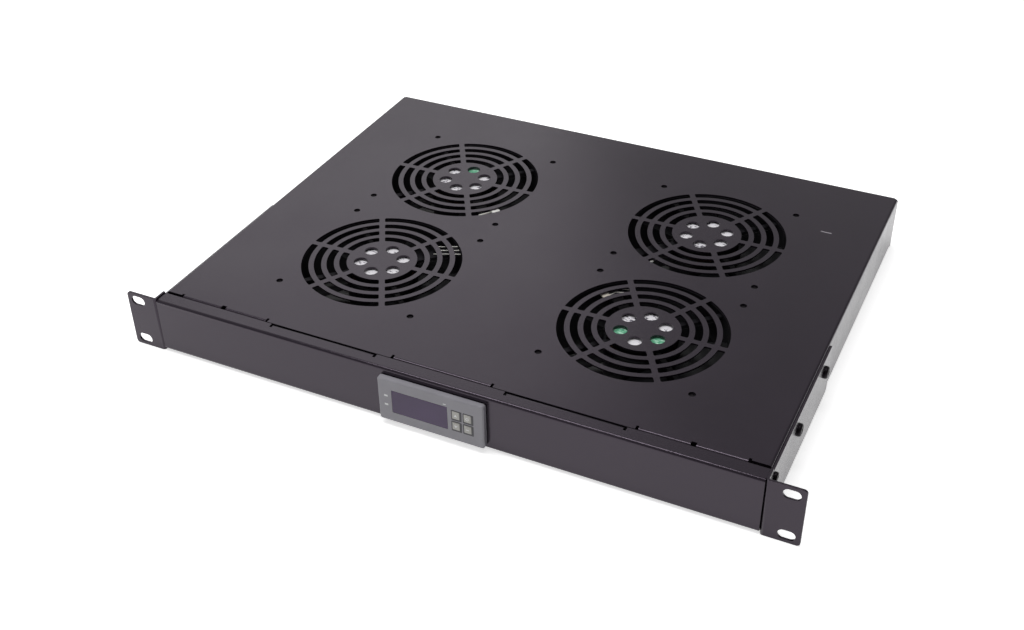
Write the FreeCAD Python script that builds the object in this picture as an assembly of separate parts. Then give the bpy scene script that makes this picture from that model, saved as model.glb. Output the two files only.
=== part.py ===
import FreeCAD, Part
import math
import os

from FreeCAD import Vector

# One-unit 19-inch rack fan tray: four 120 mm axial fans hung under a punched top plate,
# with a panel thermostat in the front.  Millimetres.  X runs along the front, Y into the rack, Z up.
# The origin is the centre of the four rack slots, in the plane where the ears meet the rack rails.

# ---------------------------------------------------------------- rack ears (folded brackets)
rack_width = 482.6          # over both ears
slot_inset = 8.75           # rack slot centres inside the ears' ends
slot_spacing_z = 31.75      # rack slot centres, upper to lower
slot_length = 11.0
slot_height = 7.0
ear_reach = 24.7            # ear's end past the tray's side wall
ear_height = 43.4
ear_sheet = 1.6
ear_corner_r = 2.5
ear_bend_r = 0.6            # inside radius of the bracket's fold
flange_depth = 146.5        # bracket's side flange, back from the ear's front face
flange_full_depth = 11.0    # stretch of the flange next to the ear that keeps the ear's full height
flange_setback = 2.7        # step in of the rest of the flange, top and bottom
flange_corner_r = 3.0
ear_screws_y = [68.0, 131.0]    # back from the front face
ear_screws_z = 7.0              # above the ear's mid-height
ear_front_screw_y = 16.0
ear_front_screw_z = 11.5

# ---------------------------------------------------------------- tray and front panel
round_sides = 8             # flats that stand in for small rounds
sheet = 1.2                 # tray and panel sheet thickness
bend_r = 0.8                # inside radius of their folds
tray_depth = 348.8          # front face to rear wall
plate_drop = 0.9            # top plate below the ear's top edge
panel_rise = 1.4            # panel's lower edge above the underside
panel_end_gap = 0.2         # panel's end short of the side wall's outer face
return_flange = 10.0        # inward fold along the lower edges of the walls
lip_depth = 10.9            # panel's top and bottom lips, back from the front face
seam_gap = 0.5              # between the lip's rear edge and the top plate's front edge
front_fold = 13.0           # inward fold at the front of each side wall, behind the panel
fold_clearance = 0.4        # air between folds that don't touch
corner_notch = 12.6         # width of the cut-back corners of the top plate's front edge
relief_width = 1.8          # bend relief beside each fold-down tab
relief_depth = 1.5
plate_tab_drop = 6.5        # fold-down tabs on the top plate's front edge
middle_tab = 70.0           # width of the middle one
outer_tabs = [(82.6, 49.6), (46.0, 14.2)]   # the others' two ends, in from the side walls
lip_tab_drop = 8.0          # fold-down tab on the panel's lip, on both sides
lip_tab_start = 48.0        # its end next to the middle
lip_tab_inset = 90.6        # its other end, in from the side wall
stud_d = 4.0                # studs welded behind the panel
stud_length = 7.0
stud_inset = 8.2            # from the side wall
stud_z = 10.0

# ---------------------------------------------------------------- fasteners
screw_d = 4.0               # screws through the brackets
screw_head_d = 8.6
screw_head_h = 2.5
front_screw_d = 3.0
front_screw_head_d = 6.0
front_screw_head_h = 2.0
nut_flats = 7.0
nut_h = 3.2
front_nut_flats = 5.5
front_nut_h = 2.4
hole_clearance = 0.2        # on a fastener's diameter
screw_tail = 1.2            # screw end past its nut
head_crown_share = 0.4      # share of a pan head's height that slopes in at 45 degrees
fan_screw_d = 4.6           # the plate's holes, before their clearance
fan_screw_shank_d = 4.0
fan_screw_head_flats = 7.0
fan_screw_head_h = 2.6
fan_screw_short = 0.7       # screw tip below the top plate's upper face

# ---------------------------------------------------------------- fans
fan_size = 120.0
fan_depth = 38.0
fan_hole_pitch = 105.0
fan_hole_d = 4.5
fan_pitch_x = 200.0
fan_pitch_y = 130.0
fan_row_front = 109.3       # front row of fan centres, back from the front face
fan_flange = 4.5
fan_ring_wall = 1.8
fan_bore_r = 57.6
fan_corner_r = 6.0
motor_recess = 1.8          # motor base below the frame's upper face
motor_base_r = 23.5
motor_base_t = 3.0
strut_width = 4.5
lead_strut_width = 9.0
strut_setback = 0.5         # strut's upper face below the motor base's
strut_lap = 0.5             # strut's ends inside the base and the ring
strut_height = 3.6
strut_count = 4
bearing_tube_r = 7.0
bearing_tube_length = 25.0
bearing_d = 10.0
bearing_width = 4.0
bearing_fit = 0.06          # radial, bearing in its tube
stator_fit = 0.1            # radial, stator round the bearing tube
lead_hole_fit = 0.15        # radial, a lead in the hole it passes
shaft_d = 4.0
shaft_fit = 0.03            # radial, shaft in its bearings
shaft_end_play = 0.5
shaft_seat_fit = 0.04       # radial, shaft in the hub's boss
hub_r = 26.0
hub_wall = 2.0
hub_end_gap = 3.3           # hub rim below the motor base
hub_boss_r = 5.0
hub_boss_h = 3.8
rotor_recess = 2.0          # hub face above the frame's lower face
blade_count = 5
blade_tip_clearance = 1.2
blade_thickness = 1.8
blade_margin = 1.5          # blade edges inside the hub's two ends
blade_root_reach = 13.0     # half of a blade's length round the hub, at its root
blade_tip_reach = 24.0      # and at its tip
blade_camber = 3.0
stator_clearance = 1.5      # stator inside the hub
stator_height = 14.0
stator_slots = 4
stator_slot_width = 3.0
stator_slot_depth = 9.0
ring_sides = 20             # flats that stand in for the rounds of the frames' rings
hub_sides = 18              # and of the hubs
corner_flats = 3            # and of a frame's corners
blade_flats = 4             # flats along a blade's camber

# ---------------------------------------------------------------- punched grille over each fan
grille_outer_r = 57.8
grille_slot_width = 5.3
grille_ring_pitch = 9.05
grille_rings = 4
grille_spoke = 4.1
grille_chord = 16.0         # longest flat that stands in for the slots' arcs
hub_holes = 6
hub_hole_d = 10.0
hub_hole_circle_r = 15.2
hub_hole_sides = 10

# ---------------------------------------------------------------- thermostat
bezel_side = 2.6            # bezel past the body, left and right
bezel_rise = 2.5            # and above and below
bezel_depth = 4.0
bezel_corner_r = 1.8
bezel_front_chamfer = 0.8
thermostat_drop = 0.9       # its centre below the rack slots' centre
gasket_t = 0.6
gasket_setback = 1.0        # gasket inside the bezel's outline
body_width = 71.0
body_height = 29.0
body_depth = 58.0           # behind the panel's face
body_wall = 2.0
cutout_clearance = 0.4      # panel cut-out around the body
window_inset = 10.0         # window inside the bezel's left end
window_margin = 7.95        # and inside its upper and lower edges
window_to_buttons = 3.55
window_t = 1.5
window_ledge = 1.0          # rim of the bezel behind the window's edge
window_gap = 0.1
display_t = 6.0
button_width = 5.2
button_height = 5.9
button_pitch_x = 8.3
button_pitch_z = 8.75
button_inset = 15.3         # centre of the four buttons inside the bezel's right end
button_proud = 0.6
button_gap = 0.3            # button in its hole, each side
button_travel = 0.5
button_foot = 0.7           # rim behind the bezel that keeps the button in
button_foot_t = 0.8
button_stem_r = 1.4
button_stem_length = 2.0
button_wall = 2.4           # bezel's thickness round a button
button_edge = 0.4           # chamfer round the cap
switch_size = 3.6
switch_play = 0.1           # left between stem and switch at the end of the travel
board_t = 1.6
board_fit = 0.1             # board inside the housing, each side
clip_width = 8.0
clip_length = 26.0
clip_t = 3.0
terminal_count = 8
terminal_pitch = 7.5
terminal_depth = 10.0
terminal_height = 11.0
terminal_screw_d = 3.6
terminal_well = 4.6
terminal_well_depth = 4.0

# ---------------------------------------------------------------- mains inlet in the rear wall
inlet_x = 0.0
inlet_z = 5.0
inlet_flange_w = 50.0
inlet_flange_h = 25.0
inlet_flange_t = 3.0
inlet_flange_r = 3.0
inlet_body_w = 27.6
inlet_body_h = 20.0
inlet_body_depth = 20.0     # in front of the rear wall's outer face
inlet_socket_w = 24.2
inlet_socket_h = 16.2
inlet_socket_depth = 18.0
inlet_socket_corner = 4.0
inlet_screw_pitch = 40.0
inlet_pin_w = 2.0
inlet_pin_h = 4.0
inlet_pin_recess = 5.0      # pin tips inside the socket's mouth
inlet_pin_spacing = 7.0
inlet_earth_rise = 2.0
inlet_tab_length = 8.0
inlet_clearance = 0.3

boot_w = 25.0               # insulating boot over the inlet's tabs
boot_h = 17.0
boot_length = 14.0
boot_wall = 2.0

# ---------------------------------------------------------------- wiring under the plate
block_poles = 6
block_end = 3.0             # block's ends past its outer poles' cells
block_width = 18.0
block_height = 20.0
block_stud_d = 3.0          # studs welded under the plate
block_stud_length = 6.0
block_floor = 2.4           # block's thickness between the plate and its nuts
block_nut_well_d = 6.8
block_screw_d = 3.4
block_screw_h = 2.0
block_screw_well = 3.0
block_screw_x = 5.8         # screws off the block's centre line
block_entry_depth = 3.0
lead_d = 3.2                # fan leads
trunk_d = 5.5               # supply and thermostat leads
trunk_z = 5.0               # level of the supply, thermostat and sensor leads
sensor_d = 2.8
probe_d = 5.0
probe_length = 25.0
lead_drop = 7.2             # fan leads' centre below the plate's lower face
sensor_x = -15.0
probe_y = 96.0              # probe's end where its lead enters
clip_wall = 1.4
clip_depth = 8.0
trunk_clips_y = [104.0, 128.0, 226.0, 270.0]
probe_clip_y = 108.0

overcut = 1.0               # cutters run this far past what they cut

# ---------------------------------------------------------------- derived planes
tray_width = rack_width - 2 * ear_reach
front_y = -ear_sheet
under_z = -ear_height / 2
ear_top = ear_height / 2
plate_top = ear_top - plate_drop
plate_under = plate_top - sheet
wall_x = tray_width / 2
wall_inside = wall_x - sheet
rear_y = front_y + tray_depth
panel_bottom = under_z + panel_rise
panel_inside = front_y + sheet
lip_end = front_y + lip_depth
plate_front = lip_end + seam_gap
panel_end_x = wall_x - panel_end_gap
flange_outside = wall_x + ear_sheet
fan_top = plate_under
fan_bottom = fan_top - fan_depth
motor_face = fan_top - motor_recess
motor_under = motor_face - motor_base_t
rotor_top = motor_under - hub_end_gap
rotor_bottom = fan_bottom + rotor_recess
blade_tip_r = fan_bore_r - blade_tip_clearance
fan_row_y = front_y + fan_row_front
fan_centres = {
    "front_left": (-fan_pitch_x / 2, fan_row_y),
    "front_right": (fan_pitch_x / 2, fan_row_y),
    "rear_left": (-fan_pitch_x / 2, fan_row_y + fan_pitch_y),
    "rear_right": (fan_pitch_x / 2, fan_row_y + fan_pitch_y),
}
tray_middle_y = fan_row_y + fan_pitch_y / 2
thermostat_z = -thermostat_drop
bezel_width = body_width + 2 * bezel_side
bezel_height = body_height + 2 * bezel_rise
bezel_front = front_y - gasket_t - bezel_depth
bezel_back = bezel_front + bezel_depth
button_x = bezel_width / 2 - button_inset
window_left = window_inset - bezel_width / 2
window_width = button_x - (button_pitch_x + button_width) / 2 - window_to_buttons - window_left
window_height = bezel_height - 2 * window_margin
window_x = window_left + window_width / 2
lead_z = plate_under - lead_drop
stud_x = wall_x - stud_inset
# the block's end poles line up with the leads that leave the front and rear rings
lead_row = fan_pitch_y - 2 * (fan_bore_r + fan_ring_wall) * math.sin(math.pi / 4)
block_pole_pitch = lead_row / (block_poles - 1)
block_length = block_poles * block_pole_pitch + 2 * block_end


# ---------------------------------------------------------------- small helpers
def box(x0, x1, y0, y1, z0, z1):
    return Part.makeBox(x1 - x0, y1 - y0, z1 - z0, Vector(x0, y0, z0))


def centred_box(width, depth, height, centre):
    x, y, z = centre
    return box(x - width / 2, x + width / 2, y - depth / 2, y + depth / 2, z - height / 2, z + height / 2)


def cyl_y(r, y0, y1, x, z):
    return Part.makeCylinder(r, y1 - y0, Vector(x, y0, z), Vector(0, 1, 0))


def fuse(shapes):
    joined = shapes[0]
    if len(shapes) > 1:
        joined = shapes[0].multiFuse(shapes[1:])
    return joined.removeSplitter()


def moved(shape, x=0.0, y=0.0, z=0.0):
    copy = shape.copy()
    copy.translate(Vector(x, y, z))
    return copy


def turned(shape, degrees, axis=Vector(0, 0, 1)):
    copy = shape.copy()
    copy.rotate(Vector(0, 0, 0), axis, degrees)
    return copy


def mirrored(shape):
    """The same piece on the other side of the tray."""
    return shape.mirror(Vector(0, 0, 0), Vector(1, 0, 0))


def both_sides(shapes):
    return shapes + [mirrored(s) for s in shapes]


def polar(r, degrees):
    a = math.radians(degrees)
    return r * math.cos(a), r * math.sin(a)


def rounded_path(points, r, place):
    """Edges along a flat polyline, with every inner corner rounded to r."""
    edges = []
    start = points[0]
    for i in range(1, len(points)):
        end = points[i]
        if i < len(points) - 1:
            bx, by = points[i - 1][0] - end[0], points[i - 1][1] - end[1]
            ax, ay = points[i + 1][0] - end[0], points[i + 1][1] - end[1]
            bl, al = math.hypot(bx, by), math.hypot(ax, ay)
            half = math.acos(max(-1.0, min(1.0, (bx * ax + by * ay) / (bl * al)))) / 2
            cut = r / math.tan(half)
            entry = (end[0] + bx / bl * cut, end[1] + by / bl * cut)
            leave = (end[0] + ax / al * cut, end[1] + ay / al * cut)
            mx, my = bx / bl + ax / al, by / bl + ay / al
            reach = (r / math.sin(half) - r) / math.hypot(mx, my)
            middle = (end[0] + mx * reach, end[1] + my * reach)
            edges.append(Part.LineSegment(place(start), place(entry)).toShape())
            edges.append(Part.Arc(place(entry), place(middle), place(leave)).toShape())
            start = leave
        else:
            edges.append(Part.LineSegment(place(start), place(end)).toShape())
    return edges


def folded(points, t, r_in, axis, start, end):
    """A sheet of thickness t folded along an axis.

    points is the outer line of its section, in (Y, Z) for a fold along "x", (X, Z) for "y" and
    (X, Y) for "z".  All folds turn the same way, and the sheet lies inside them.
    """
    def place(p):
        if axis == "x":
            return Vector(start, p[0], p[1])
        if axis == "y":
            return Vector(p[0], start, p[1])
        return Vector(p[0], p[1], start)

    ux, uy = points[1][0] - points[0][0], points[1][1] - points[0][1]
    wx, wy = points[2][0] - points[1][0], points[2][1] - points[1][1]
    side = math.copysign(1.0, ux * wy - uy * wx)
    normals = []
    for (ax, ay), (bx, by) in zip(points, points[1:]):
        length = math.hypot(bx - ax, by - ay)
        normals.append((-side * (by - ay) / length, side * (bx - ax) / length))
    inner = [(points[0][0] + normals[0][0] * t, points[0][1] + normals[0][1] * t)]
    for i in range(1, len(points) - 1):
        nx, ny = normals[i - 1][0] + normals[i][0], normals[i - 1][1] + normals[i][1]
        k = 2 * t / (nx * nx + ny * ny)
        inner.append((points[i][0] + nx * k, points[i][1] + ny * k))
    inner.append((points[-1][0] + normals[-1][0] * t, points[-1][1] + normals[-1][1] * t))
    path = rounded_path(points, r_in + t, place)
    path.append(Part.LineSegment(place(points[-1]), place(inner[-1])).toShape())
    path += rounded_path(inner[::-1], r_in, place)
    path.append(Part.LineSegment(place(inner[0]), place(points[0])).toShape())
    push = {"x": Vector(1, 0, 0), "y": Vector(0, 1, 0), "z": Vector(0, 0, 1)}[axis]
    return Part.Face(Part.Wire(path)).extrude(push * (end - start))


def rounded_plate(width, depth, r, z0, z1):
    """A plate on the XY plane; a few flats stand in for each rounded corner."""
    points = []
    for sx, sy, first in ((1, 1, 0), (-1, 1, 90), (-1, -1, 180), (1, -1, 270)):
        for k in range(corner_flats + 1):
            px, py = polar(r, first + 90.0 * k / corner_flats)
            points.append(Vector(sx * (width / 2 - r) + px, sy * (depth / 2 - r) + py, z0))
    return Part.Face(Part.makePolygon(points + points[:1])).extrude(Vector(0, 0, z1 - z0))


def rounded_panel(width, height, thickness, r, x, y, z):
    """A plate facing -Y, its front face at y, its four corners rounded."""
    plate = box(x - width / 2, x + width / 2, y, y + thickness, z - height / 2, z + height / 2)
    across = [e for e in plate.Edges if abs(e.tangentAt(e.FirstParameter).y) > 0.99]
    return plate.makeFillet(r, across)


def prism(sides, r, start, end, centre=(0.0, 0.0), axis="z"):
    """A regular prism along an axis, its corners at radius r from a centre given in the other two."""
    a, b = centre
    points = []
    for k in range(sides + 1):
        pa, pb = polar(r, 360.0 * k / sides)
        if axis == "x":
            points.append(Vector(start, a + pa, b + pb))
        elif axis == "y":
            points.append(Vector(a + pa, start, b + pb))
        else:
            points.append(Vector(a + pa, b + pb, start))
    push = {"x": Vector(1, 0, 0), "y": Vector(0, 1, 0), "z": Vector(0, 0, 1)}[axis]
    return Part.Face(Part.makePolygon(points)).extrude(push * (end - start))


def rod(d, start, end, centre=(0.0, 0.0), axis="z"):
    """A small round bar; flats stand in for its round, inside the diameter."""
    return prism(round_sides, d / 2, start, end, centre, axis)


def bore(d, start, end, centre=(0.0, 0.0), axis="z"):
    """Cutter for a small round hole; its flats lie outside the diameter."""
    return prism(round_sides, d / 2 / math.cos(math.pi / round_sides), start, end, centre, axis)


def hex_prism(flats, h):
    return prism(6, flats / math.sqrt(3), 0, h)


def nut(flats, h, bore_d):
    return hex_prism(flats, h).cut(bore(bore_d, -overcut, h + overcut))


def pan_screw(shank_d, length, head_d, head_h):
    """Head above the XY plane, shank below it."""
    head = rod(head_d, 0, head_h)
    rim = [e for e in head.Edges if all(abs(v.Z - head_h) < 1e-6 for v in e.Vertexes)]
    return fuse([head.makeChamfer(head_h * head_crown_share, rim), rod(shank_d, -length, 0)])


def slot_cutter(length, height, t, x, y, z):
    """A round-ended slot along X, cut through a sheet that faces Y."""
    r = height / 2
    half = length / 2 - r
    return fuse([box(x - half, x + half, y - t, y + t, z - r, z + r),
                 cyl_y(r, y - t, y + t, x - half, z), cyl_y(r, y - t, y + t, x + half, z)])


def save(shape, node):
    shape.exportStep("parts/%s.step" % node)
    print("%-28s solids %3d  volume %10.1f  %s" % (node, len(shape.Solids), shape.Volume,
                                                "" if shape.isValid() else "NOT VALID"))


# ---------------------------------------------------------------- tray (one folded sheet)
def slot_outline(outer_r, inner_r, z):
    """Closed outline of one arc slot in the first sextant, its ends parallel to the spokes."""
    sextant = math.pi / 3
    flats = math.ceil(outer_r * sextant / grille_chord)
    points = []
    for r, order in ((outer_r, range(flats + 1)), (inner_r, range(flats, -1, -1))):
        end = math.asin(grille_spoke / 2 / r)
        for k in order:
            a = end + (sextant - 2 * end) * k / flats
            points.append(Vector(r * math.cos(a), r * math.sin(a), z))
    return Part.makePolygon(points + points[:1])


def grille_cutter():
    """Rings of arc slots between straight spokes, with round holes over the motor."""
    z0 = plate_under - overcut
    z1 = plate_top + overcut
    cutters = []
    for i in range(grille_rings):
        outer = grille_outer_r - i * grille_ring_pitch
        slot = Part.Face(slot_outline(outer, outer - grille_slot_width, z0)).extrude(Vector(0, 0, z1 - z0))
        cutters += [turned(slot, 60.0 * k) for k in range(6)]
    for k in range(hub_holes):
        x, y = polar(hub_hole_circle_r, (k + 0.5) * 360.0 / hub_holes)
        cutters.append(prism(hub_hole_sides, hub_hole_d / 2, z0, z1, (x, y)))
    return cutters


def fan_hole_places():
    """Offsets of a fan's four screws from its centre."""
    half = fan_hole_pitch / 2
    return [(sx * half, sy * half) for sx in (-1, 1) for sy in (-1, 1)]


def ear_screw_places():
    """(y, z, clearance hole diameter) of the screws through each bracket and side wall."""
    places = [(front_y + y, ear_screws_z, screw_d + hole_clearance) for y in ear_screws_y]
    return places + [(front_y + ear_front_screw_y, ear_front_screw_z, front_screw_d + hole_clearance)]


def stud_places():
    return [(side * stud_x, z) for side in (-1, 1) for z in (-stud_z, stud_z)]


def block_stud_places():
    """Between the block's second and third poles, and between its fourth and fifth."""
    return [tray_middle_y - block_pole_pitch, tray_middle_y + block_pole_pitch]


def chassis():
    r = bend_r + sheet
    front_line = plate_front + r
    rear_line = rear_y - r - fold_clearance
    # top plate, side walls and their return flanges
    pieces = [folded([(-wall_x + return_flange, under_z), (-wall_x, under_z), (-wall_x, plate_top),
                      (wall_x, plate_top), (wall_x, under_z), (wall_x - return_flange, under_z)],
                     sheet, bend_r, "y", front_line, rear_line)]
    # strip in front of the tabs' fold line, between the cut-back corners
    strip_half = wall_x - corner_notch
    pieces.append(box(-strip_half, strip_half, plate_front, front_line, plate_under, plate_top))
    # rear wall, folded down from the plate; its return flange stops short of the side flanges
    rear_half = wall_x - r - fold_clearance
    return_half = wall_x - return_flange - fold_clearance
    wall = [(rear_line, plate_top), (rear_y, plate_top), (rear_y, under_z)]
    pieces.append(folded(wall + [(rear_y - return_flange, under_z)], sheet, bend_r, "x",
                         -return_half, return_half))
    pieces += both_sides([folded(wall, sheet, bend_r, "x", return_half, rear_half)])
    # side walls: on to the rear wall, and forward under the panel's lip with a fold behind its face
    pieces += both_sides([
        box(wall_inside, wall_x, rear_line, rear_y, under_z, plate_top - r - fold_clearance),
        folded([(wall_x, front_line), (wall_x, panel_inside), (wall_x - front_fold, panel_inside)],
               sheet, bend_r, "z", panel_bottom + sheet + fold_clearance, plate_top - r - fold_clearance),
    ])
    tray = fuse(pieces)

    outer = [(wall_x - a, wall_x - b) for a, b in outer_tabs]
    spans = [(-middle_tab / 2, middle_tab / 2)] + outer + [(-b, -a) for a, b in outer]
    cuts = []
    tabs = []
    for x0, x1 in spans:
        cuts.append(box(x0, x1, plate_front - overcut, front_line, plate_under - overcut, plate_top + overcut))
        for x in (x0 - relief_width, x1):
            cuts.append(box(x, x + relief_width, plate_front - overcut, front_line + relief_depth,
                            plate_under - overcut, plate_top + overcut))
        tabs.append(folded([(front_line + relief_depth, plate_top), (plate_front, plate_top),
                            (plate_front, plate_top - plate_tab_drop)], sheet, bend_r, "x", x0, x1))
    for x, y in fan_centres.values():
        cuts += [moved(c, x, y) for c in grille_cutter()]
        for dx, dy in fan_hole_places():
            cuts.append(bore(fan_screw_d + hole_clearance, plate_under - overcut, plate_top + overcut,
                             (x + dx, y + dy)))
    for y, z, d in ear_screw_places():
        cuts += both_sides([bore(d, wall_inside - overcut, wall_x + overcut, (y, z), "x")])
    for x, z in stud_places():
        cuts.append(bore(stud_d + hole_clearance, panel_inside - overcut, panel_inside + sheet + overcut,
                         (x, z), "y"))
    cuts.append(centred_box(inlet_body_w + 2 * inlet_clearance, 4 * sheet, inlet_body_h + 2 * inlet_clearance,
                            (inlet_x, rear_y, inlet_z)))
    for dx in (-1, 1):
        cuts.append(bore(front_screw_d + hole_clearance, rear_y - 2 * sheet, rear_y + sheet,
                         (inlet_x + dx * inlet_screw_pitch / 2, inlet_z), "y"))
    studs = [rod(block_stud_d, plate_under - block_stud_length, plate_under, (0, y)) for y in block_stud_places()]
    return fuse([tray.cut(cuts)] + tabs + studs)


# ---------------------------------------------------------------- front panel
def front_panel():
    r = bend_r + sheet
    section = [(lip_end, panel_bottom), (front_y, panel_bottom), (front_y, plate_top), (lip_end, plate_top)]
    channel = folded(section, sheet, bend_r, "x", -panel_end_x, panel_end_x)
    x0, x1 = lip_tab_start, wall_x - lip_tab_inset
    fold_line = lip_end - r
    cuts = both_sides([box(x0 - relief_width, x1 + relief_width, fold_line - relief_depth, lip_end + overcut,
                           plate_under - overcut, plate_top + overcut)])
    tabs = both_sides([folded([(fold_line - relief_depth, plate_top), (lip_end, plate_top),
                               (lip_end, plate_top - lip_tab_drop)], sheet, bend_r, "x", x0, x1)])
    cuts.append(centred_box(body_width + 2 * cutout_clearance, 6 * sheet, body_height + 2 * cutout_clearance,
                            (0, front_y, thermostat_z)))
    studs = [rod(stud_d, panel_inside, panel_inside + stud_length, (x, z), "y") for x, z in stud_places()]
    return fuse([channel.cut(cuts)] + tabs + studs)


def panel_nuts():
    seat = panel_inside + sheet
    one = turned(nut(nut_flats, nut_h, stud_d + 2 * shaft_fit), -90, Vector(1, 0, 0))
    return Part.makeCompound([moved(one, x, seat, z) for x, z in stud_places()])


# ---------------------------------------------------------------- rack ears
def rack_ear():
    """The right-hand bracket: the ear and a side flange outside the tray's wall."""
    edge_x = rack_width / 2
    back_y = front_y + flange_depth
    bracket = folded([(edge_x, front_y), (wall_x, front_y), (wall_x, back_y)],
                     ear_sheet, ear_bend_r, "z", under_z, ear_top)
    step_y = front_y + flange_full_depth
    low = under_z + flange_setback
    high = ear_top - flange_setback
    cuts = [box(wall_x - overcut, flange_outside + overcut, step_y, back_y + overcut, z0, z1)
            for z0, z1 in ((under_z - overcut, low), (high, ear_top + overcut))]
    for z in (-slot_spacing_z / 2, slot_spacing_z / 2):
        cuts.append(slot_cutter(slot_length, slot_height, 2 * ear_sheet, edge_x - slot_inset, front_y, z))
    for y, z, d in ear_screw_places():
        cuts.append(bore(d, wall_x - overcut, flange_outside + overcut, (y, z), "x"))
    bracket = bracket.cut(cuts)
    tips = [e for e in bracket.Edges if len(e.Vertexes) == 2 and abs(e.Vertexes[0].X - edge_x) < 1e-6
            and abs(e.Vertexes[1].X - edge_x) < 1e-6 and abs(e.Vertexes[0].Z - e.Vertexes[1].Z) < 1e-6]
    bracket = bracket.makeFillet(ear_corner_r, tips)
    tails = [e for e in bracket.Edges if len(e.Vertexes) == 2 and abs(e.Vertexes[0].Y - back_y) < 1e-6
             and abs(e.Vertexes[1].Y - back_y) < 1e-6 and abs(e.Vertexes[0].Z - e.Vertexes[1].Z) < 1e-6]
    return bracket.makeFillet(flange_corner_r, tails)


def bracket_screw(d, head_d, head_h, nut_height, y, z):
    length = ear_sheet + sheet + nut_height + screw_tail
    one = turned(pan_screw(d, length, head_d, head_h), 90, Vector(0, 1, 0))
    return moved(one, flange_outside, y, z)


def bracket_nut(d, flats, height, y, z):
    one = turned(nut(flats, height, d + 2 * shaft_fit), -90, Vector(0, 1, 0))
    return moved(one, wall_inside, y, z)


def ear_screws():
    large = [bracket_screw(screw_d, screw_head_d, screw_head_h, nut_h, y, z)
             for y, z, d in ear_screw_places()[:2]]
    y, z, d = ear_screw_places()[2]
    small = bracket_screw(front_screw_d, front_screw_head_d, front_screw_head_h, front_nut_h, y, z)
    return Part.makeCompound(both_sides(large + [small]))


def ear_nuts():
    large = [bracket_nut(screw_d, nut_flats, nut_h, y, z) for y, z, d in ear_screw_places()[:2]]
    y, z, d = ear_screw_places()[2]
    return Part.makeCompound(both_sides(large + [bracket_nut(front_screw_d, front_nut_flats, front_nut_h, y, z)]))


# ---------------------------------------------------------------- fans (centred on the Z axis)
def fan_frame(lead_angle):
    """Two flanges, the ring between them, and the motor base on its struts; the lead strut is wider."""
    ring_r = fan_bore_r + fan_ring_wall
    flanges = [rounded_plate(fan_size, fan_size, fan_corner_r, z, z + fan_flange)
               for z in (fan_top - fan_flange, fan_bottom)]
    shell = fuse(flanges + [prism(ring_sides, ring_r, fan_bottom, fan_top)])
    cuts = [prism(ring_sides, fan_bore_r, fan_bottom - overcut, fan_top + overcut)]
    for place in fan_hole_places():
        cuts.append(bore(fan_hole_d, fan_bottom - overcut, fan_top + overcut, place))
    shell = shell.cut(cuts)
    inner = motor_base_r * math.cos(math.pi / hub_sides) - strut_lap
    outer = ring_r * math.cos(math.pi / ring_sides) - strut_lap
    top = motor_face - strut_setback
    arms = []
    for k in range(strut_count):
        width = lead_strut_width if k == 0 else strut_width
        arm = box(inner, outer, -width / 2, width / 2, top - strut_height, top)
        arms.append(turned(arm, lead_angle + k * 360.0 / strut_count))
    base = prism(hub_sides, motor_base_r, motor_under, motor_face)
    tube = rod(2 * bearing_tube_r, motor_under - bearing_tube_length, motor_under)
    well = bore(bearing_d + 2 * bearing_fit, motor_under - bearing_tube_length - overcut, motor_under)
    frame = fuse([shell, base, tube] + arms).cut(well)
    x, y = polar(ring_r, lead_angle)
    reach = fan_ring_wall * 3
    return frame.cut(bore(lead_d + 2 * lead_hole_fit, x - reach, x + reach, (y, lead_z), "x"))


def blade_point(r, reach, half_height, t, lift):
    """Point of a blade on the cylinder of radius r; t runs from -1 to 1 along the blade."""
    length = math.hypot(reach, half_height)
    off = blade_camber * (1 - t * t) + lift
    along = t * reach - off * half_height / length
    z = t * half_height + off * reach / length
    a = along / r
    return Vector(r * math.cos(a), r * math.sin(a), z)


def fan_blade(middle_z, half_height):
    """One cambered, twisted blade, its skin laid out as triangles."""
    root_r = hub_r - hub_wall / 2
    stations = []
    for share in (0.0, 0.5, 1.0):
        r = root_r + (blade_tip_r - root_r) * share
        stations.append((r, blade_root_reach + (blade_tip_reach - blade_root_reach) * share))

    def grid(lift):
        return [[blade_point(r, reach, half_height, -1 + 2.0 * k / blade_flats, lift)
                 for k in range(blade_flats + 1)] for r, reach in stations]

    low, high = grid(0.0), grid(blade_thickness)
    cells = []
    for j in range(len(stations) - 1):
        for k in range(blade_flats):
            for g in (low, high):
                cells.append((g[j][k], g[j + 1][k], g[j + 1][k + 1], g[j][k + 1]))
        for k in (0, blade_flats):
            cells.append((low[j][k], low[j + 1][k], high[j + 1][k], high[j][k]))
    for j in (0, len(stations) - 1):
        for k in range(blade_flats):
            cells.append((low[j][k], low[j][k + 1], high[j][k + 1], high[j][k]))
    faces = []
    for a, b, c, d in cells:
        faces.append(Part.Face(Part.makePolygon([a, b, c, a])))
        faces.append(Part.Face(Part.makePolygon([a, c, d, a])))
    shell = Part.Shell(faces)
    shell.sewShape()
    blade = Part.Solid(shell)
    if blade.Volume < 0:
        blade.reverse()
    return moved(blade, z=middle_z)


def fan_rotor():
    """Cup-shaped hub, open towards the motor base, with cambered twisted blades round it."""
    middle_z = (rotor_top + rotor_bottom) / 2
    blade = fan_blade(middle_z, (rotor_top - rotor_bottom) / 2 - blade_margin - blade_thickness)
    floor_z = rotor_bottom + hub_wall
    cup = prism(hub_sides, hub_r, rotor_bottom, rotor_top)
    boss_top = floor_z + hub_boss_h
    hollow = prism(hub_sides, hub_r - hub_wall, floor_z, rotor_top + overcut)
    hollow = hollow.cut(rod(2 * hub_boss_r, floor_z, boss_top))
    blades = [turned(blade, k * 360.0 / blade_count) for k in range(blade_count)]
    rotor = cup.multiFuse(blades).cut(hollow)
    return rotor.cut(bore(shaft_d + 2 * shaft_seat_fit, floor_z, boss_top))


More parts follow.
